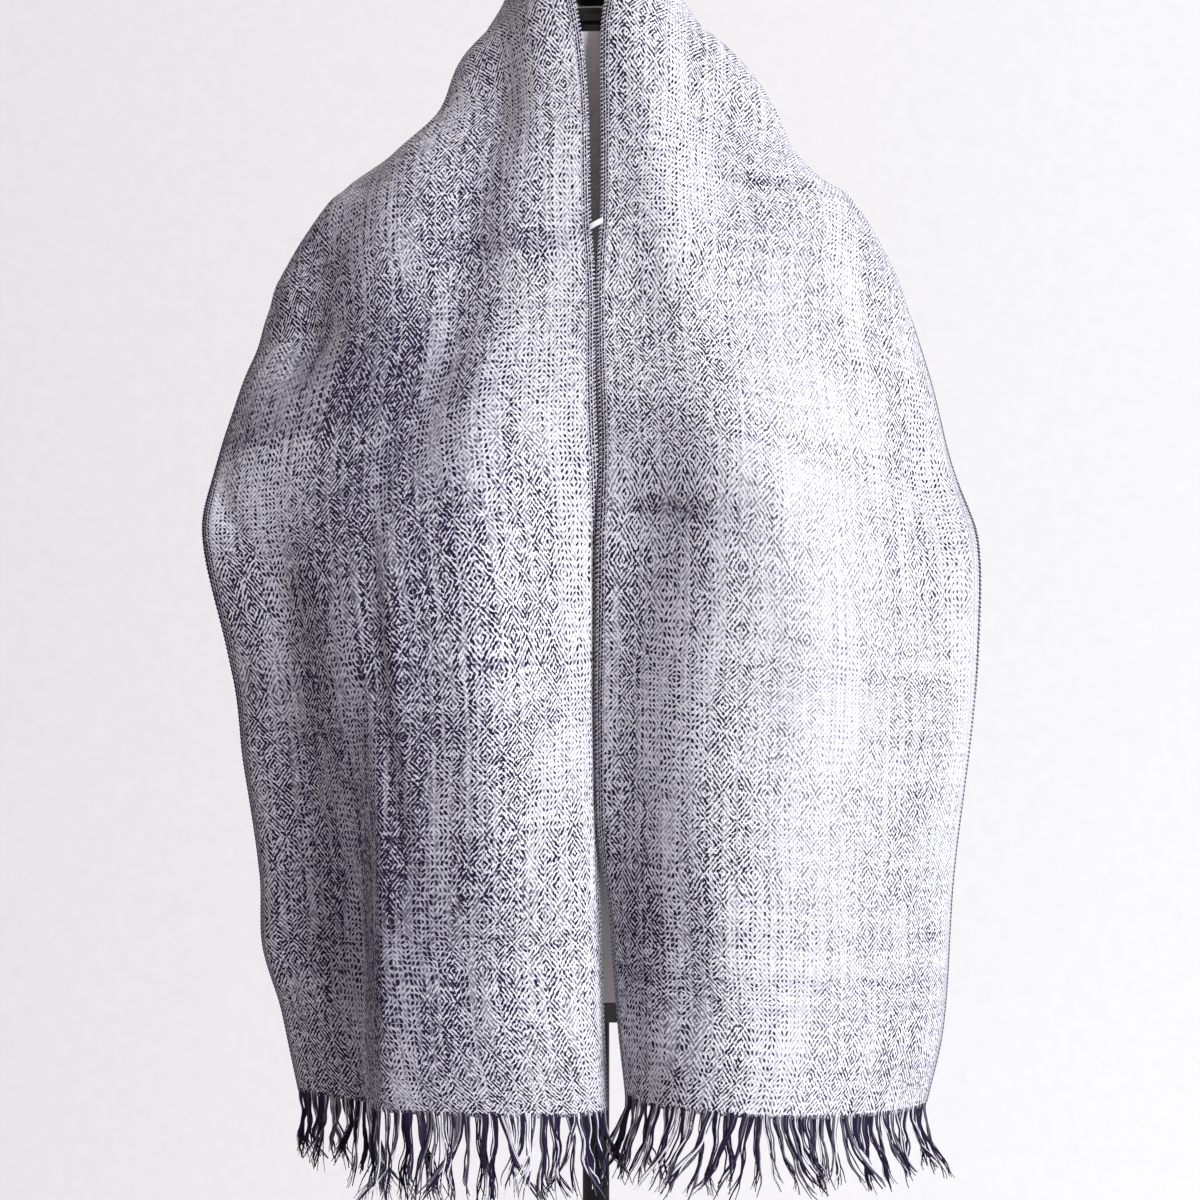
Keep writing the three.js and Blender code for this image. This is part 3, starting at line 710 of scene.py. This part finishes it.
def twill_dash_group():
    """One dark pair of warp ends in every four, as the dashes in which it comes up to the face.

    Ends and Picks count yarns across and along the cloth. Shift moves the pair sideways by that
    many ends. Threading and treadling both run up and down again after Point Ends and Point Picks,
    so the dashes lean one way and then the other and make diamonds. Cover thickens the dashes.
    """
    group, given, out = group_of("TwillDash", {
        "Ends": 0.0, "Picks": 0.0, "Shift": 0.0, "Cover": 0.5, "Point Ends": 14.0,
        "Point Picks": 18.0, "Lean": 0.52}, ["Mask"])
    calc = partial(maths, group)

    def wobble(column_rate, pick_rate, start):
        """Slow noise down each column of dashes, of its own in every column."""
        place = node(group, "ShaderNodeCombineXYZ", {
            0: calc("MULTIPLY_ADD", column, column_rate, calc("ADD", given["Shift"], start)),
            1: calc("MULTIPLY", given["Picks"], pick_rate)})
        return noise(group, place.outputs[0], 1.0, 1.0, "2D")

    shifted = calc("ADD", given["Ends"], given["Shift"])
    column = calc("FLOOR", calc("DIVIDE", shifted, DASH_STEP))
    middle = calc("MULTIPLY_ADD", column, DASH_STEP, DASH_STEP / 2)
    beside = calc("SUBTRACT", shifted, middle)
    middle = calc("SUBTRACT", middle, given["Shift"])
    repeat = calc("MULTIPLY", given["Point Ends"], 2.0)
    rising = calc("LESS_THAN", calc("FLOORED_MODULO", middle, repeat), given["Point Ends"])
    direction = calc("MULTIPLY_ADD", rising, 2.0, -1.0)
    uneven = calc("MULTIPLY_ADD", wobble(5.37, 0.18, 3.1), 2.8, given["Picks"])
    phase = calc("ADD", calc("PINGPONG", middle, given["Point Ends"]),
                 calc("PINGPONG", uneven, given["Point Picks"]))
    along = calc("FLOORED_MODULO", calc("ADD", phase, DASH_STEP / 2), DASH_STEP)
    along = calc("SUBTRACT", along, DASH_STEP / 2)
    slant = calc("MULTIPLY", calc("MULTIPLY", direction, along), given["Lean"])
    sway = calc("MULTIPLY_ADD", wobble(3.3, 0.37, 17.7), 1.4, -0.7)
    aside = calc("ABSOLUTE", calc("ADD", calc("ADD", beside, slant), sway))

    swell = wobble(7.13, 0.26, 40.9)
    column_tone = wobble(0.83, 0.014, 61.3)
    cover = calc("MULTIPLY_ADD", calc("SUBTRACT", column_tone, 0.5), 0.5, given["Cover"])
    wider = calc("MULTIPLY_ADD", cover, 0.74, 0.66)
    longer = calc("MULTIPLY_ADD", cover, 0.36, 0.73)
    half_width = calc("MULTIPLY", ramp(group, swell, 0.32, 0.68, 0.48, 1.20), wider)
    half_length = calc("MULTIPLY", ramp(group, swell, 0.32, 0.68, 0.85, 1.65), longer)
    rounded = calc("ADD", calc("POWER", calc("DIVIDE", aside, half_width), 2.2),
                   calc("POWER", calc("DIVIDE", calc("ABSOLUTE", along), half_length), 2.6))
    shape = ramp(group, rounded, 1.32, 0.98, 0.0, 1.0, "SMOOTHSTEP")
    depth = ramp(group, column_tone, 0.34, 0.50, 0.68, 1.0)
    strength = ramp(group, given["Cover"], 0.0, 0.35, 0.72, 1.0)
    plug(group, out, {"Mask": calc("MULTIPLY", shape, calc("MULTIPLY", depth, strength))})
    return group


def point_twill_group():
    """Point twill with dark pairs of warp ends on a light weft, in hand-spun yarn that runs thicker and
    thinner.

    Place is across and along the cloth in metres. Cover: how much of the dark warp shows. Dark:
    where a dark warp end shows. Height: how far a yarn stands up. Shade: slow streaks along the
    yarns, around a half.
    """
    group, given, out = group_of("PointTwill", {
        "Place": None, "Cover": 0.5, "End Pitch": 0.0008, "Pick Pitch": 0.00108, "Width": 0.305,
        "Border": 0.0064, "Cord": 0.0021}, ["Dark", "Height", "Shade"])
    calc = partial(maths, group)
    drift = node(group, "ShaderNodeTexNoise", {"Vector": given["Place"], "Scale": 15.0, "Detail": 1.0})
    wander = node(group, "ShaderNodeSeparateXYZ", {0: drift.outputs["Color"]}).outputs
    place = node(group, "ShaderNodeSeparateXYZ", {0: given["Place"]}).outputs
    beat = noise(group, place[1], 5.0, 2.0, "1D")
    ends = calc("MULTIPLY_ADD", wander[0], 8.0, calc("DIVIDE", place[0], given["End Pitch"]))
    picks = calc("MULTIPLY_ADD", wander[1], 6.0, calc("DIVIDE", place[1], given["Pick Pitch"]))
    picks = calc("MULTIPLY_ADD", beat, 38.0, picks)

    # Patches and bands of thicker and thinner weft cover the dark pairs more or less.
    patchy = noise(group, given["Place"], 22.0, 2.0, "2D")
    banded = noise(group, place[1], 48.0, 3.0, "1D")
    thinness = calc("MULTIPLY_ADD", patchy, 0.2, calc("MULTIPLY", banded, 0.4))
    cover = calc("ADD", calc("SUBTRACT", thinness, 0.3), given["Cover"])

    # In some stretches only every other dark pair comes up strongly.
    first, second = (
        use_group(group, twill_dash_group, Ends=ends, Picks=picks, Shift=shift, Cover=cover)["Mask"]
        for shift in (0.0, DASH_STEP / 2))
    stretch = node(group, "ShaderNodeMapping", {"Vector": given["Place"], "Scale": (26.0, 5.0, 1.0)})
    filled = ramp(group, noise(group, stretch.outputs[0], 1.0, 1.0, "2D"), 0.36, 0.48, 0.40, 1.0)
    dashes = calc("MAXIMUM", first, calc("MULTIPLY", second, filled))

    # Along both selvedges a border of dark cords, each crossed by one pick in three.
    from_edge = calc("MINIMUM", place[0], calc("SUBTRACT", given["Width"], place[0]))
    in_border = ramp(group, calc("DIVIDE", from_edge, given["Border"]), 0.9, 1.1, 1.0, 0.0)
    cord_at = calc("DIVIDE", from_edge, given["Cord"])
    wavering = noise(group, given["Place"], 420.0, 1.0, "2D")
    beside = calc("PINGPONG", calc("MULTIPLY_ADD", wavering, 0.5, cord_at), 0.5)
    crossing = calc("MULTIPLY_ADD", calc("FLOOR", cord_at), 1.37, calc("DIVIDE", picks, 3.0))
    crossing = calc("PINGPONG", calc("ADD", crossing, wavering), 0.5)
    crossed = ramp(group, crossing, 0.05, 0.14, 0.1, 1.0)
    cord = ramp(group, beside, 0.05, 0.14, 0.0, 1.0)
    bold = ramp(group, given["Cover"], 0.15, 0.45, 0.3, 1.0)
    cords = calc("MULTIPLY", bold, calc("MULTIPLY", cord, crossed))
    dark = node(group, "ShaderNodeMix", {0: in_border, 2: dashes, 3: cords}).outputs[0]

    weft = calc("PINGPONG", picks, 0.5)
    height = calc("MAXIMUM", dark, calc("MULTIPLY", weft, 1.2))
    end_streak, pick_streak = (
        noise(group, calc("MULTIPLY", calc("FLOOR", count), rate), 1.0, 3.0, "1D")
        for count, rate in ((ends, 0.31), (picks, 0.13)))
    shade = calc("MULTIPLY_ADD", end_streak, 0.65, calc("MULTIPLY", pick_streak, 0.35))
    plug(group, out, {"Dark": dark, "Height": height, "Shade": shade})
    return group


def fibres_group():
    """Fine loose fibres on wool: a tone to multiply by and a small height."""
    group, given, out = group_of("LooseFibres", {"Place": None, "Scale": 900.0}, ["Tone", "Height"])
    hairs = node(group, "ShaderNodeTexNoise", {
        "Vector": given["Place"], "Scale": given["Scale"], "Detail": 4.0, "Roughness": 0.7,
        "Distortion": 0.6}).outputs["Fac"]
    plug(group, out, {"Tone": ramp(group, hairs, 0.3, 0.7, 0.86, 1.1), "Height": hairs})
    return group


# ------------------------------------------------------------------ materials
WOOLLY = {"Roughness": 0.93, "Specular IOR Level": 0.18, "Sheen Weight": 0.06, "Sheen Roughness": 0.45}


def wool_material(scarf):
    material, tree, shader = new_material("woven_wool")
    place = node(tree, "ShaderNodeUVMap", uv_map="cloth_place").outputs[0]
    cover = node(tree, "ShaderNodeAttribute", attribute_name="dark_cover").outputs["Fac"]
    weave = use_group(tree, point_twill_group, Place=place, Cover=cover, Width=scarf.width,
                      End_Pitch=scarf.end_pitch, Pick_Pitch=scarf.pick_pitch)
    fibres = use_group(tree, fibres_group, Place=place, Scale=1500.0)
    streaks = ramp(tree, weave["Shade"], 0.44, 0.64, 0.0, 0.34)
    # Painted shade: where much dark warp shows, the weft is greyed as well, darkening those stretches as
    # shade would.
    painted_cover_shade = maths(tree, "MAXIMUM", maths(tree, "MULTIPLY_ADD", cover, 0.85, -0.46), 0.0)
    ground = mix_colour(tree, maths(tree, "ADD", streaks, painted_cover_shade), scarf.weft_colour, scarf.streak_and_shade_colour)
    woven = mix_colour(tree, weave["Dark"], ground, scarf.warp_colour)
    height = maths(tree, "ADD", weave["Height"], maths(tree, "MULTIPLY", fibres["Height"], 0.3))
    plug(tree, shader, {
        "Base Color": mix_colour(tree, 1.0, woven, fibres["Tone"], "MULTIPLY"),
        "Normal": bump(tree, height, 0.4, 0.0006), **WOOLLY})
    return material


def yarn_material(scarf):
    """Yarn whose strands are dark or light by their own attribute. All loose yarns share it."""
    if "loose_yarn" in bpy.data.materials:
        return bpy.data.materials["loose_yarn"]
    material, tree, shader = new_material("loose_yarn")
    tint = node(tree, "ShaderNodeAttribute", attribute_name="yarn_tint").outputs["Fac"]
    place = node(tree, "ShaderNodeTexCoord").outputs["Object"]
    fibres = use_group(tree, fibres_group, Place=place, Scale=1400.0)
    spun = mix_colour(tree, tint, scarf.warp_colour, scarf.weft_colour)
    plug(tree, shader, {
        "Base Color": mix_colour(tree, 1.0, spun, fibres["Tone"], "MULTIPLY"),
        "Normal": bump(tree, fibres["Height"], 0.6, 0.0004), **WOOLLY})
    return material


def jersey_material(form):
    """A knitted cover: small stitches in rows, a little fuzz and slight soiling."""
    material, tree, shader = new_material("jersey_cover")
    place = node(tree, "ShaderNodeTexCoord").outputs["Object"]
    knit = maths(tree, "MULTIPLY", bands(tree, place, "Z", 260.0, 0.6, 1.0),
                 bands(tree, place, "X", 210.0, 0.4, 1.0))
    fibres = use_group(tree, fibres_group, Place=place, Scale=700.0)
    soiling = maths(tree, "MULTIPLY", noise(tree, place, 9.0, 3.0), 0.5)
    deeper = [value * 0.86 for value in form.cover_colour]
    toned = mix_colour(tree, soiling, form.cover_colour, deeper)
    knitted = mix_colour(tree, maths(tree, "MULTIPLY", knit, 0.35), toned, deeper)
    plug(tree, shader, {
        "Base Color": mix_colour(tree, 1.0, knitted, fibres["Tone"], "MULTIPLY"),
        "Normal": bump(tree, knit, 0.35, 0.0006), **WOOLLY})
    return material


def lacquer_material(form):
    """Black lacquer on turned wood, with faint turning rings and rubbed, duller patches."""
    material, tree, shader = new_material("black_lacquer")
    place = node(tree, "ShaderNodeTexCoord").outputs["Object"]
    plug(tree, shader, {
        "Base Color": (*form.lacquer_colour, 1),
        "Roughness": ramp(tree, noise(tree, place, 40.0, 5.0), 0.3, 0.7, 0.22, 0.42),
        "Normal": bump(tree, bands(tree, place, "Z", 180.0, 1.0), 0.08, 0.0004),
        "Coat Weight": 0.5, "Coat Roughness": 0.15})
    return material


def powder_coat_material(form):
    """Satin black powder coat with its fine orange-peel grain."""
    material, tree, shader = new_material("powder_coat")
    place = node(tree, "ShaderNodeTexCoord").outputs["Object"]
    plug(tree, shader, {
        "Base Color": (*form.steel_colour, 1),
        "Roughness": ramp(tree, noise(tree, place, 14.0, 4.0), 0.3, 0.7, 0.58, 0.72),
        "Normal": bump(tree, noise(tree, place, 650.0, 2.0), 0.25, 0.0004),
        "Specular IOR Level": 0.3})
    return material


def paper_material(studio):
    """The paper sweep: greyer on the left as painted shade, and seen only from the side that is lit."""
    material, tree, shader = new_material("paper_sweep")
    place = node(tree, "ShaderNodeTexCoord").outputs["Object"]
    side = node(tree, "ShaderNodeSeparateXYZ", {0: place}).outputs[0]
    # Painted shade: the paper greys from right to left.
    share = ramp(tree, side, -0.9, 0.9, 0.0, 1.0)
    paper = mix_colour(tree, share, studio.shaded_paper_left, studio.paper_right)
    grain = ramp(tree, noise(tree, place, 60.0, 6.0), 0.3, 0.7, 0.97, 1.0)
    behind = node(tree, "ShaderNodeNewGeometry").outputs["Backfacing"]
    plug(tree, shader, {
        "Base Color": mix_colour(tree, 1.0, paper, grain, "MULTIPLY"),
        "Roughness": 0.95, "Specular IOR Level": 0.1,
        "Alpha": maths(tree, "SUBTRACT", 1.0, behind)})
    return material


# ------------------------------------------------------------------ mesh tools
def placed(name, data):
    """A new object in the scene for a mesh, a light or a camera."""
    made = bpy.data.objects.new(name, data)
    bpy.context.scene.collection.objects.link(made)
    return made


def mesh_object(name, mesh, material):
    """A new object from a bmesh, which is used up."""
    data = bpy.data.meshes.new(name)
    mesh.to_mesh(data)
    mesh.free()
    data.materials.append(material)
    return placed(name, data)


def finish_piece(name, mesh, material):
    """A finished piece from a bmesh: smooth, dressed and riding on the form."""
    piece = mesh_object(name, mesh, material)
    piece.data.polygons.foreach_set("use_smooth", [True] * len(piece.data.polygons))
    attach(piece, "root")
    return piece


def strand(points, radii, tint):
    """One yarn: its points, its radius or radii, both in millimetres, and its tint."""
    return {"points": points * MM, "radii": np.broadcast_to(radii * MM, len(points)).copy(), "tint": tint}


def yarn_mesh(strands):
    """A bmesh of many round yarns, each with its tint on its points."""
    whole = bmesh.new()
    for tint in sorted({yarn["tint"] for yarn in strands}):
        curve = bpy.data.curves.new("yarns", "CURVE")
        curve.dimensions = "3D"
        curve.bevel_depth = 1
        curve.bevel_resolution = 0
        curve.use_fill_caps = True
        for yarn in (one for one in strands if one["tint"] == tint):
            spline = curve.splines.new("POLY")
            spline.points.add(len(yarn["points"]) - 1)
            spline.points.foreach_set("co", np.pad(yarn["points"], ((0, 0), (0, 1))).ravel())
            spline.points.foreach_set("radius", yarn["radii"])
        holder = bpy.data.objects.new("yarns", curve)
        made = bpy.data.meshes.new_from_object(holder)
        first = len(whole.verts)
        whole.from_mesh(made)
        layer = whole.verts.layers.float.get("yarn_tint") or whole.verts.layers.float.new("yarn_tint")
        whole.verts.ensure_lookup_table()
        for vert in whole.verts[first:]:
            vert[layer] = tint
        bpy.data.objects.remove(holder)
        bpy.data.meshes.remove(made)
        bpy.data.curves.remove(curve)
    return whole


# ------------------------------------------------------------------ operators
class SCARF_OT_cloth(bpy.types.Operator):
    """Weave the scarf's cloth and drape it on the form"""

    bl_idname = "scarf.cloth"
    bl_label = "Cloth"

    def execute(self, context):
        scarf = context.scene.scarf
        mesh = bmesh.new()
        bmesh.ops.create_grid(mesh, x_segments=scarf.cells_across, y_segments=scarf.cells_along, size=0.5)
        flat = np.array([v.co for v in mesh.verts])
        u = (0.5 - flat[:, 0]) * scarf.width / MM
        v = (flat[:, 1] + 0.5) * scarf.length / MM
        shows = mesh.verts.layers.float.new("dark_cover")
        for vert, point, share in zip(mesh.verts, drape_of(scarf).at(u, v) * MM, dark_cover(u, v)):
            vert.co = point
            vert[shows] = share
        layer = mesh.loops.layers.uv.new("cloth_place")
        places = np.stack([u, v], axis=-1) * MM
        mesh.verts.index_update()
        for face in mesh.faces:
            for loop in face.loops:
                loop[layer].uv = places[loop.vert.index]
        piece = finish_piece("scarf_cloth", mesh, wool_material(scarf))
        wall = piece.modifiers.new("Thickness", "SOLIDIFY")
        wall.thickness = scarf.thickness
        wall.offset = 0
        wall.use_even_offset = True
        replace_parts(piece, "left_end", "neck_stretch", "right_end")
        return {"FINISHED"}


class SCARF_OT_selvedges(bpy.types.Operator):
    """Run the weft's turning loops and the thick border ends along both selvedges"""

    bl_idname = "scarf.selvedges"
    bl_label = "Selvedges"

    def execute(self, context):
        scarf = context.scene.scarf
        drape = drape_of(scarf)
        turn = PICKS_A_TURN * scarf.pick_pitch / MM
        along = np.arange(2.0, scarf.length / MM - 2.0, turn / POINTS_A_TURN)
        angle = 2 * math.pi * (along - along[0]) / turn
        coarse = np.linspace(1.0, scarf.length / MM - 1.0, CORD_POINTS)
        for name, edge, inward in (("inner_selvedge", 0.0, 1), ("outer_selvedge", scarf.width / MM, -1)):
            sizes = EDGES[name]
            round_it = edge + inward * (EDGE_INSET + sizes["reach"] * np.cos(angle))
            weft = drape.at(round_it, along, EDGE_LIFT * np.sin(angle), past_edge=True)
            cord = drape.at(np.full_like(coarse, edge + inward * EDGE_INSET), coarse)
            strands = [strand(weft, sizes["weft"], sizes["tint"]), strand(cord, sizes["cord"], DARK_YARN)]
            finish_piece(name, yarn_mesh(strands), yarn_material(scarf))
        return {"FINISHED"}


class SCARF_OT_fringes(bpy.types.Operator):
    """Let the warp ends hang loose from both hems in small bunches"""

    bl_idname = "scarf.fringes"
    bl_label = "Fringes"

    def execute(self, context):
        scarf = context.scene.scarf
        for name, locks, right, seed in (
            ("left_fringe_yarns", LEFT_LOCKS, False, 11), ("right_fringe_yarns", RIGHT_LOCKS, True, 29),
        ):
            strands = self.bunches(scarf, locks, right, random.Random(seed))
            piece = finish_piece(name, yarn_mesh(strands), yarn_material(scarf))
            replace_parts(piece, name.removesuffix("_yarns"))
        return {"FINISHED"}

    def bunches(self, scarf, locks, right, dice):
        """All yarns of one hem, bunch by bunch."""
        drape = drape_of(scarf)
        width, length = scarf.width / MM, scarf.length / MM
        hem, inward = (length, -6.0) if right else (0.0, 6.0)
        outward = 1.0 if right else -1.0
        gap = width / scarf.bunches
        made = []
        for bunch in range(scarf.bunches):
            middle = (bunch + 0.5 + dice.uniform(-0.3, 0.3)) * gap
            lean = read(locks, "across", "lean", middle) + dice.gauss(0, 0.15)
            push = read(locks, "across", "push", middle) + dice.gauss(0, 0.07)
            reach = scarf.fringe / MM * read(locks, "across", "reach", middle) * dice.uniform(0.84, 1.1)
            curl = dice.gauss(0, 0.12)
            opens = dice.choice(BUNCH_OPENS)
            wave = {"rate": dice.uniform(7, 12), "start": dice.uniform(0, 6), "rise": dice.uniform(1.2, 2.8)}
            count = dice.choice(YARNS_A_BUNCH)
            for yarn in range(count):
                offset = (yarn + 0.5) / count - 0.5
                across = min(max(middle + offset * gap * ROOT_SPREAD, 0.8), width - 0.8)
                root, inside = drape.at(np.array([across, across]), np.array([hem, hem + inward]), 0.3)
                down = unit(root - inside)
                own = reach * dice.uniform(0.80, 1.04)
                beside = outward * offset * gap
                deep = dice.uniform(-1.1, 1.1)
                held = 0.55 if abs(offset) < 0.4 else 0.9
                below = np.array([beside * (held - ROOT_SPREAD), -deep * 0.6, 0.0])
                bends = [root - down * ROOT_DEPTH, root + down * own * 0.20 + below]
                for bend in zip(*LOWER_BENDS.values()):
                    share = dict(zip(LOWER_BENDS, bend))
                    swing = lean * share["lean"] + curl * share["curl"] + dice.gauss(0, share["stray"])
                    bends.append(root + np.array([
                        beside * (opens * share["open"] - ROOT_SPREAD) + swing * own,
                        -push * own * share["push"] - deep * share["deep"],
                        -own * share["down"],
                    ]))
                tint = dice.choice(YARN_TINTS)
                thick = dice.choice(YARN_RADII)
                made.append(strand(self.bent(bends, wave, dice), self.taper() * thick, tint))
        return made

    def bent(self, bends, wave, dice):
        """A smooth path through four bends, with the bunch's wave and a little crimp of its own."""
        t = np.linspace(0, 1, YARN_POINTS)[:, None]
        crimp = 0.7 * np.sin(t * dice.uniform(12, 24) + dice.uniform(0, 6)) * t
        crimp += wave["rise"] * (np.sin(t * wave["rate"] + wave["start"]) - math.sin(wave["start"])) * t
        return cubic(*bends, t) + crimp * np.array([1.0, 0.6, 0.0])

    def taper(self):
        """A yarn thins to half over its last quarter."""
        return 1 - 0.5 * ease((np.linspace(0, 1, YARN_POINTS) - 0.75) / 0.25)


class SCARF_OT_stitch(bpy.types.Operator):
    """Sew the two inner selvedges together below the throat"""

    bl_idname = "scarf.stitch"
    bl_label = "Stitch"

    def execute(self, context):
        scarf = context.scene.scarf
        length = scarf.length / MM
        t = np.linspace(0, math.pi, 11)[:, None]
        strands = []
        for turn in STITCH_TURNS:
            pierced = np.array([STITCH_FROM_HEM + turn["low"], length - STITCH_FROM_HEM - turn["high"]])
            low, high = drape_of(scarf).at(np.full(2, STITCH_INSET), pierced)
            path = (low + high) / 2 - (high - low) / 2 * np.cos(t)
            path = path + np.array([0.0, -1.0, 0.0]) * turn["proud"] * np.sin(t)
            strands.append(strand(path, THREAD_RADIUS, WHITE_THREAD))
        piece = finish_piece("throat_thread", yarn_mesh(strands), yarn_material(scarf))
        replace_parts(piece, "throat_stitch")
        return {"FINISHED"}


class SCARF_OT_form(bpy.types.Operator):
    """Finish the dress form and its stand with smooth-shaded copies of their solids"""

    bl_idname = "scarf.form"
    bl_label = "Dress form"

    def execute(self, context):
        form = context.scene.scarf_form
        for maker, slot_name, pieces in (
            (jersey_material, "form_cover", {"torso": "torso_cover"}),
            (lacquer_material, "black_lacquer", {"hip_rim": "turned_rim", "neck_cap": "turned_cap"}),
            (powder_coat_material, "black_steel",
             {"flange": "coated_flange", "pole": "coated_pole", "base_plate": "coated_plate"}),
        ):
            material = maker(form)
            for solid, piece_name in pieces.items():
                self.smooth_copy(solid, piece_name, material, slot_name)
        return {"FINISHED"}

    def smooth_copy(self, solid, piece_name, material, slot_name):
        """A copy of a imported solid, shaded smooth up to its true edges, in place of it."""
        mesh = bmesh.new()
        mesh.from_mesh(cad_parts[solid].data)
        bmesh.ops.remove_doubles(mesh, verts=mesh.verts, dist=1e-6)
        for edge in mesh.edges:
            edge.smooth = edge.calc_face_angle(math.pi) < TRUE_EDGE
        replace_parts(finish_piece(piece_name, mesh, material), solid)


class SCARF_OT_stage(bpy.types.Operator):
    """Set up the paper sweep, the light and the camera"""

    bl_idname = "scarf.stage"
    bl_label = "Studio"

    def execute(self, context):
        studio = context.scene.scarf_studio
        self.sweep(studio)
        self.light(context.scene, studio)
        data = bpy.data.cameras.new("camera")
        data.sensor_width = 36
        data.lens = data.sensor_width * studio.distance / studio.span
        camera = placed("camera", data)
        camera.location = (studio.sideways, -studio.distance, studio.eye_height)
        camera.rotation_euler = (math.radians(90), 0, 0)
        context.scene.camera = camera
        return {"FINISHED"}

    def sweep(self, studio):
        """The floor and, behind the form, a wall that leans back a little."""
        mesh = bmesh.new()
        bmesh.ops.create_grid(mesh, x_segments=1, y_segments=1, size=FLOOR_REACH)
        far = [edge for edge in mesh.edges if all(v.co.y > WALL_BACK for v in edge.verts)]
        for vert in mesh.verts:
            vert.co.y = min(vert.co.y, WALL_BACK)
        raised = bmesh.ops.extrude_edge_only(mesh, edges=far)["geom"]
        bmesh.ops.translate(mesh, verts=[v for v in raised if isinstance(v, bmesh.types.BMVert)],
                            vec=WALL_RISE)
        mesh_object("sweep", mesh, paper_material(studio))

    def light(self, scene, studio):
        """A pale room with a dim ceiling, and a soft sun from the front right."""
        world = bpy.data.worlds.new("studio")
        scene.world = world
        world.use_nodes = True
        tree = world.node_tree
        facing = node(tree, "ShaderNodeTexCoord").outputs["Generated"]
        height = node(tree, "ShaderNodeSeparateXYZ", {0: facing}).outputs[2]
        share = ramp(tree, height, 0.0, 0.24, 0.0, 1.0, "SMOOTHSTEP")
        room = mix_colour(tree, share, studio.horizon, studio.overhead)
        plug(tree, tree.nodes["Background"], {"Color": room})
        sun = bpy.data.lights.new("key", "SUN")
        sun.energy = studio.sun_strength
        sun.angle = studio.sun_spread
        sun.color = studio.sun_colour
        lamp = placed("key", sun)
        lamp.location = studio.sun_place
        shining = Vector((0, 0, 1)) - Vector(studio.sun_place)
        lamp.rotation_euler = shining.to_track_quat("-Z", "Y").to_euler()
        scene.view_settings.view_transform = "Standard"


class SCARF_PT_panel(bpy.types.Panel):
    """Sizes and pieces of the scarf"""

    bl_idname = "SCARF_PT_panel"
    bl_label = "Scarf"
    bl_space_type = "VIEW_3D"
    bl_region_type = "UI"
    bl_category = "Scarf"

    def draw(self, context):
        for settings in (context.scene.scarf, context.scene.scarf_form, context.scene.scarf_studio):
            box = self.layout.box()
            for name in settings.bl_rna.properties.keys():
                if name not in ("name", "rna_type"):
                    box.prop(settings, name)
        for step in STEPS:
            self.layout.operator(step.bl_idname)


STEPS = (SCARF_OT_cloth, SCARF_OT_selvedges, SCARF_OT_fringes, SCARF_OT_stitch, SCARF_OT_form,
         SCARF_OT_stage)
SETTINGS = {"scarf": ScarfSettings, "scarf_form": FormSettings, "scarf_studio": StudioSettings}


def register():
    for kind in (*SETTINGS.values(), *STEPS, SCARF_PT_panel):
        bpy.utils.register_class(kind)
    for name, kind in SETTINGS.items():
        setattr(bpy.types.Scene, name, bpy.props.PointerProperty(type=kind))


def unregister():
    for name in SETTINGS:
        delattr(bpy.types.Scene, name)
    for kind in reversed((*SETTINGS.values(), *STEPS, SCARF_PT_panel)):
        bpy.utils.unregister_class(kind)


def main():
    register()
    bpy.ops.scarf.cloth()
    bpy.ops.scarf.selvedges()
    bpy.ops.scarf.fringes()
    bpy.ops.scarf.stitch()
    bpy.ops.scarf.form()
    bpy.ops.scarf.stage()


if __name__ == "__main__":
    main()
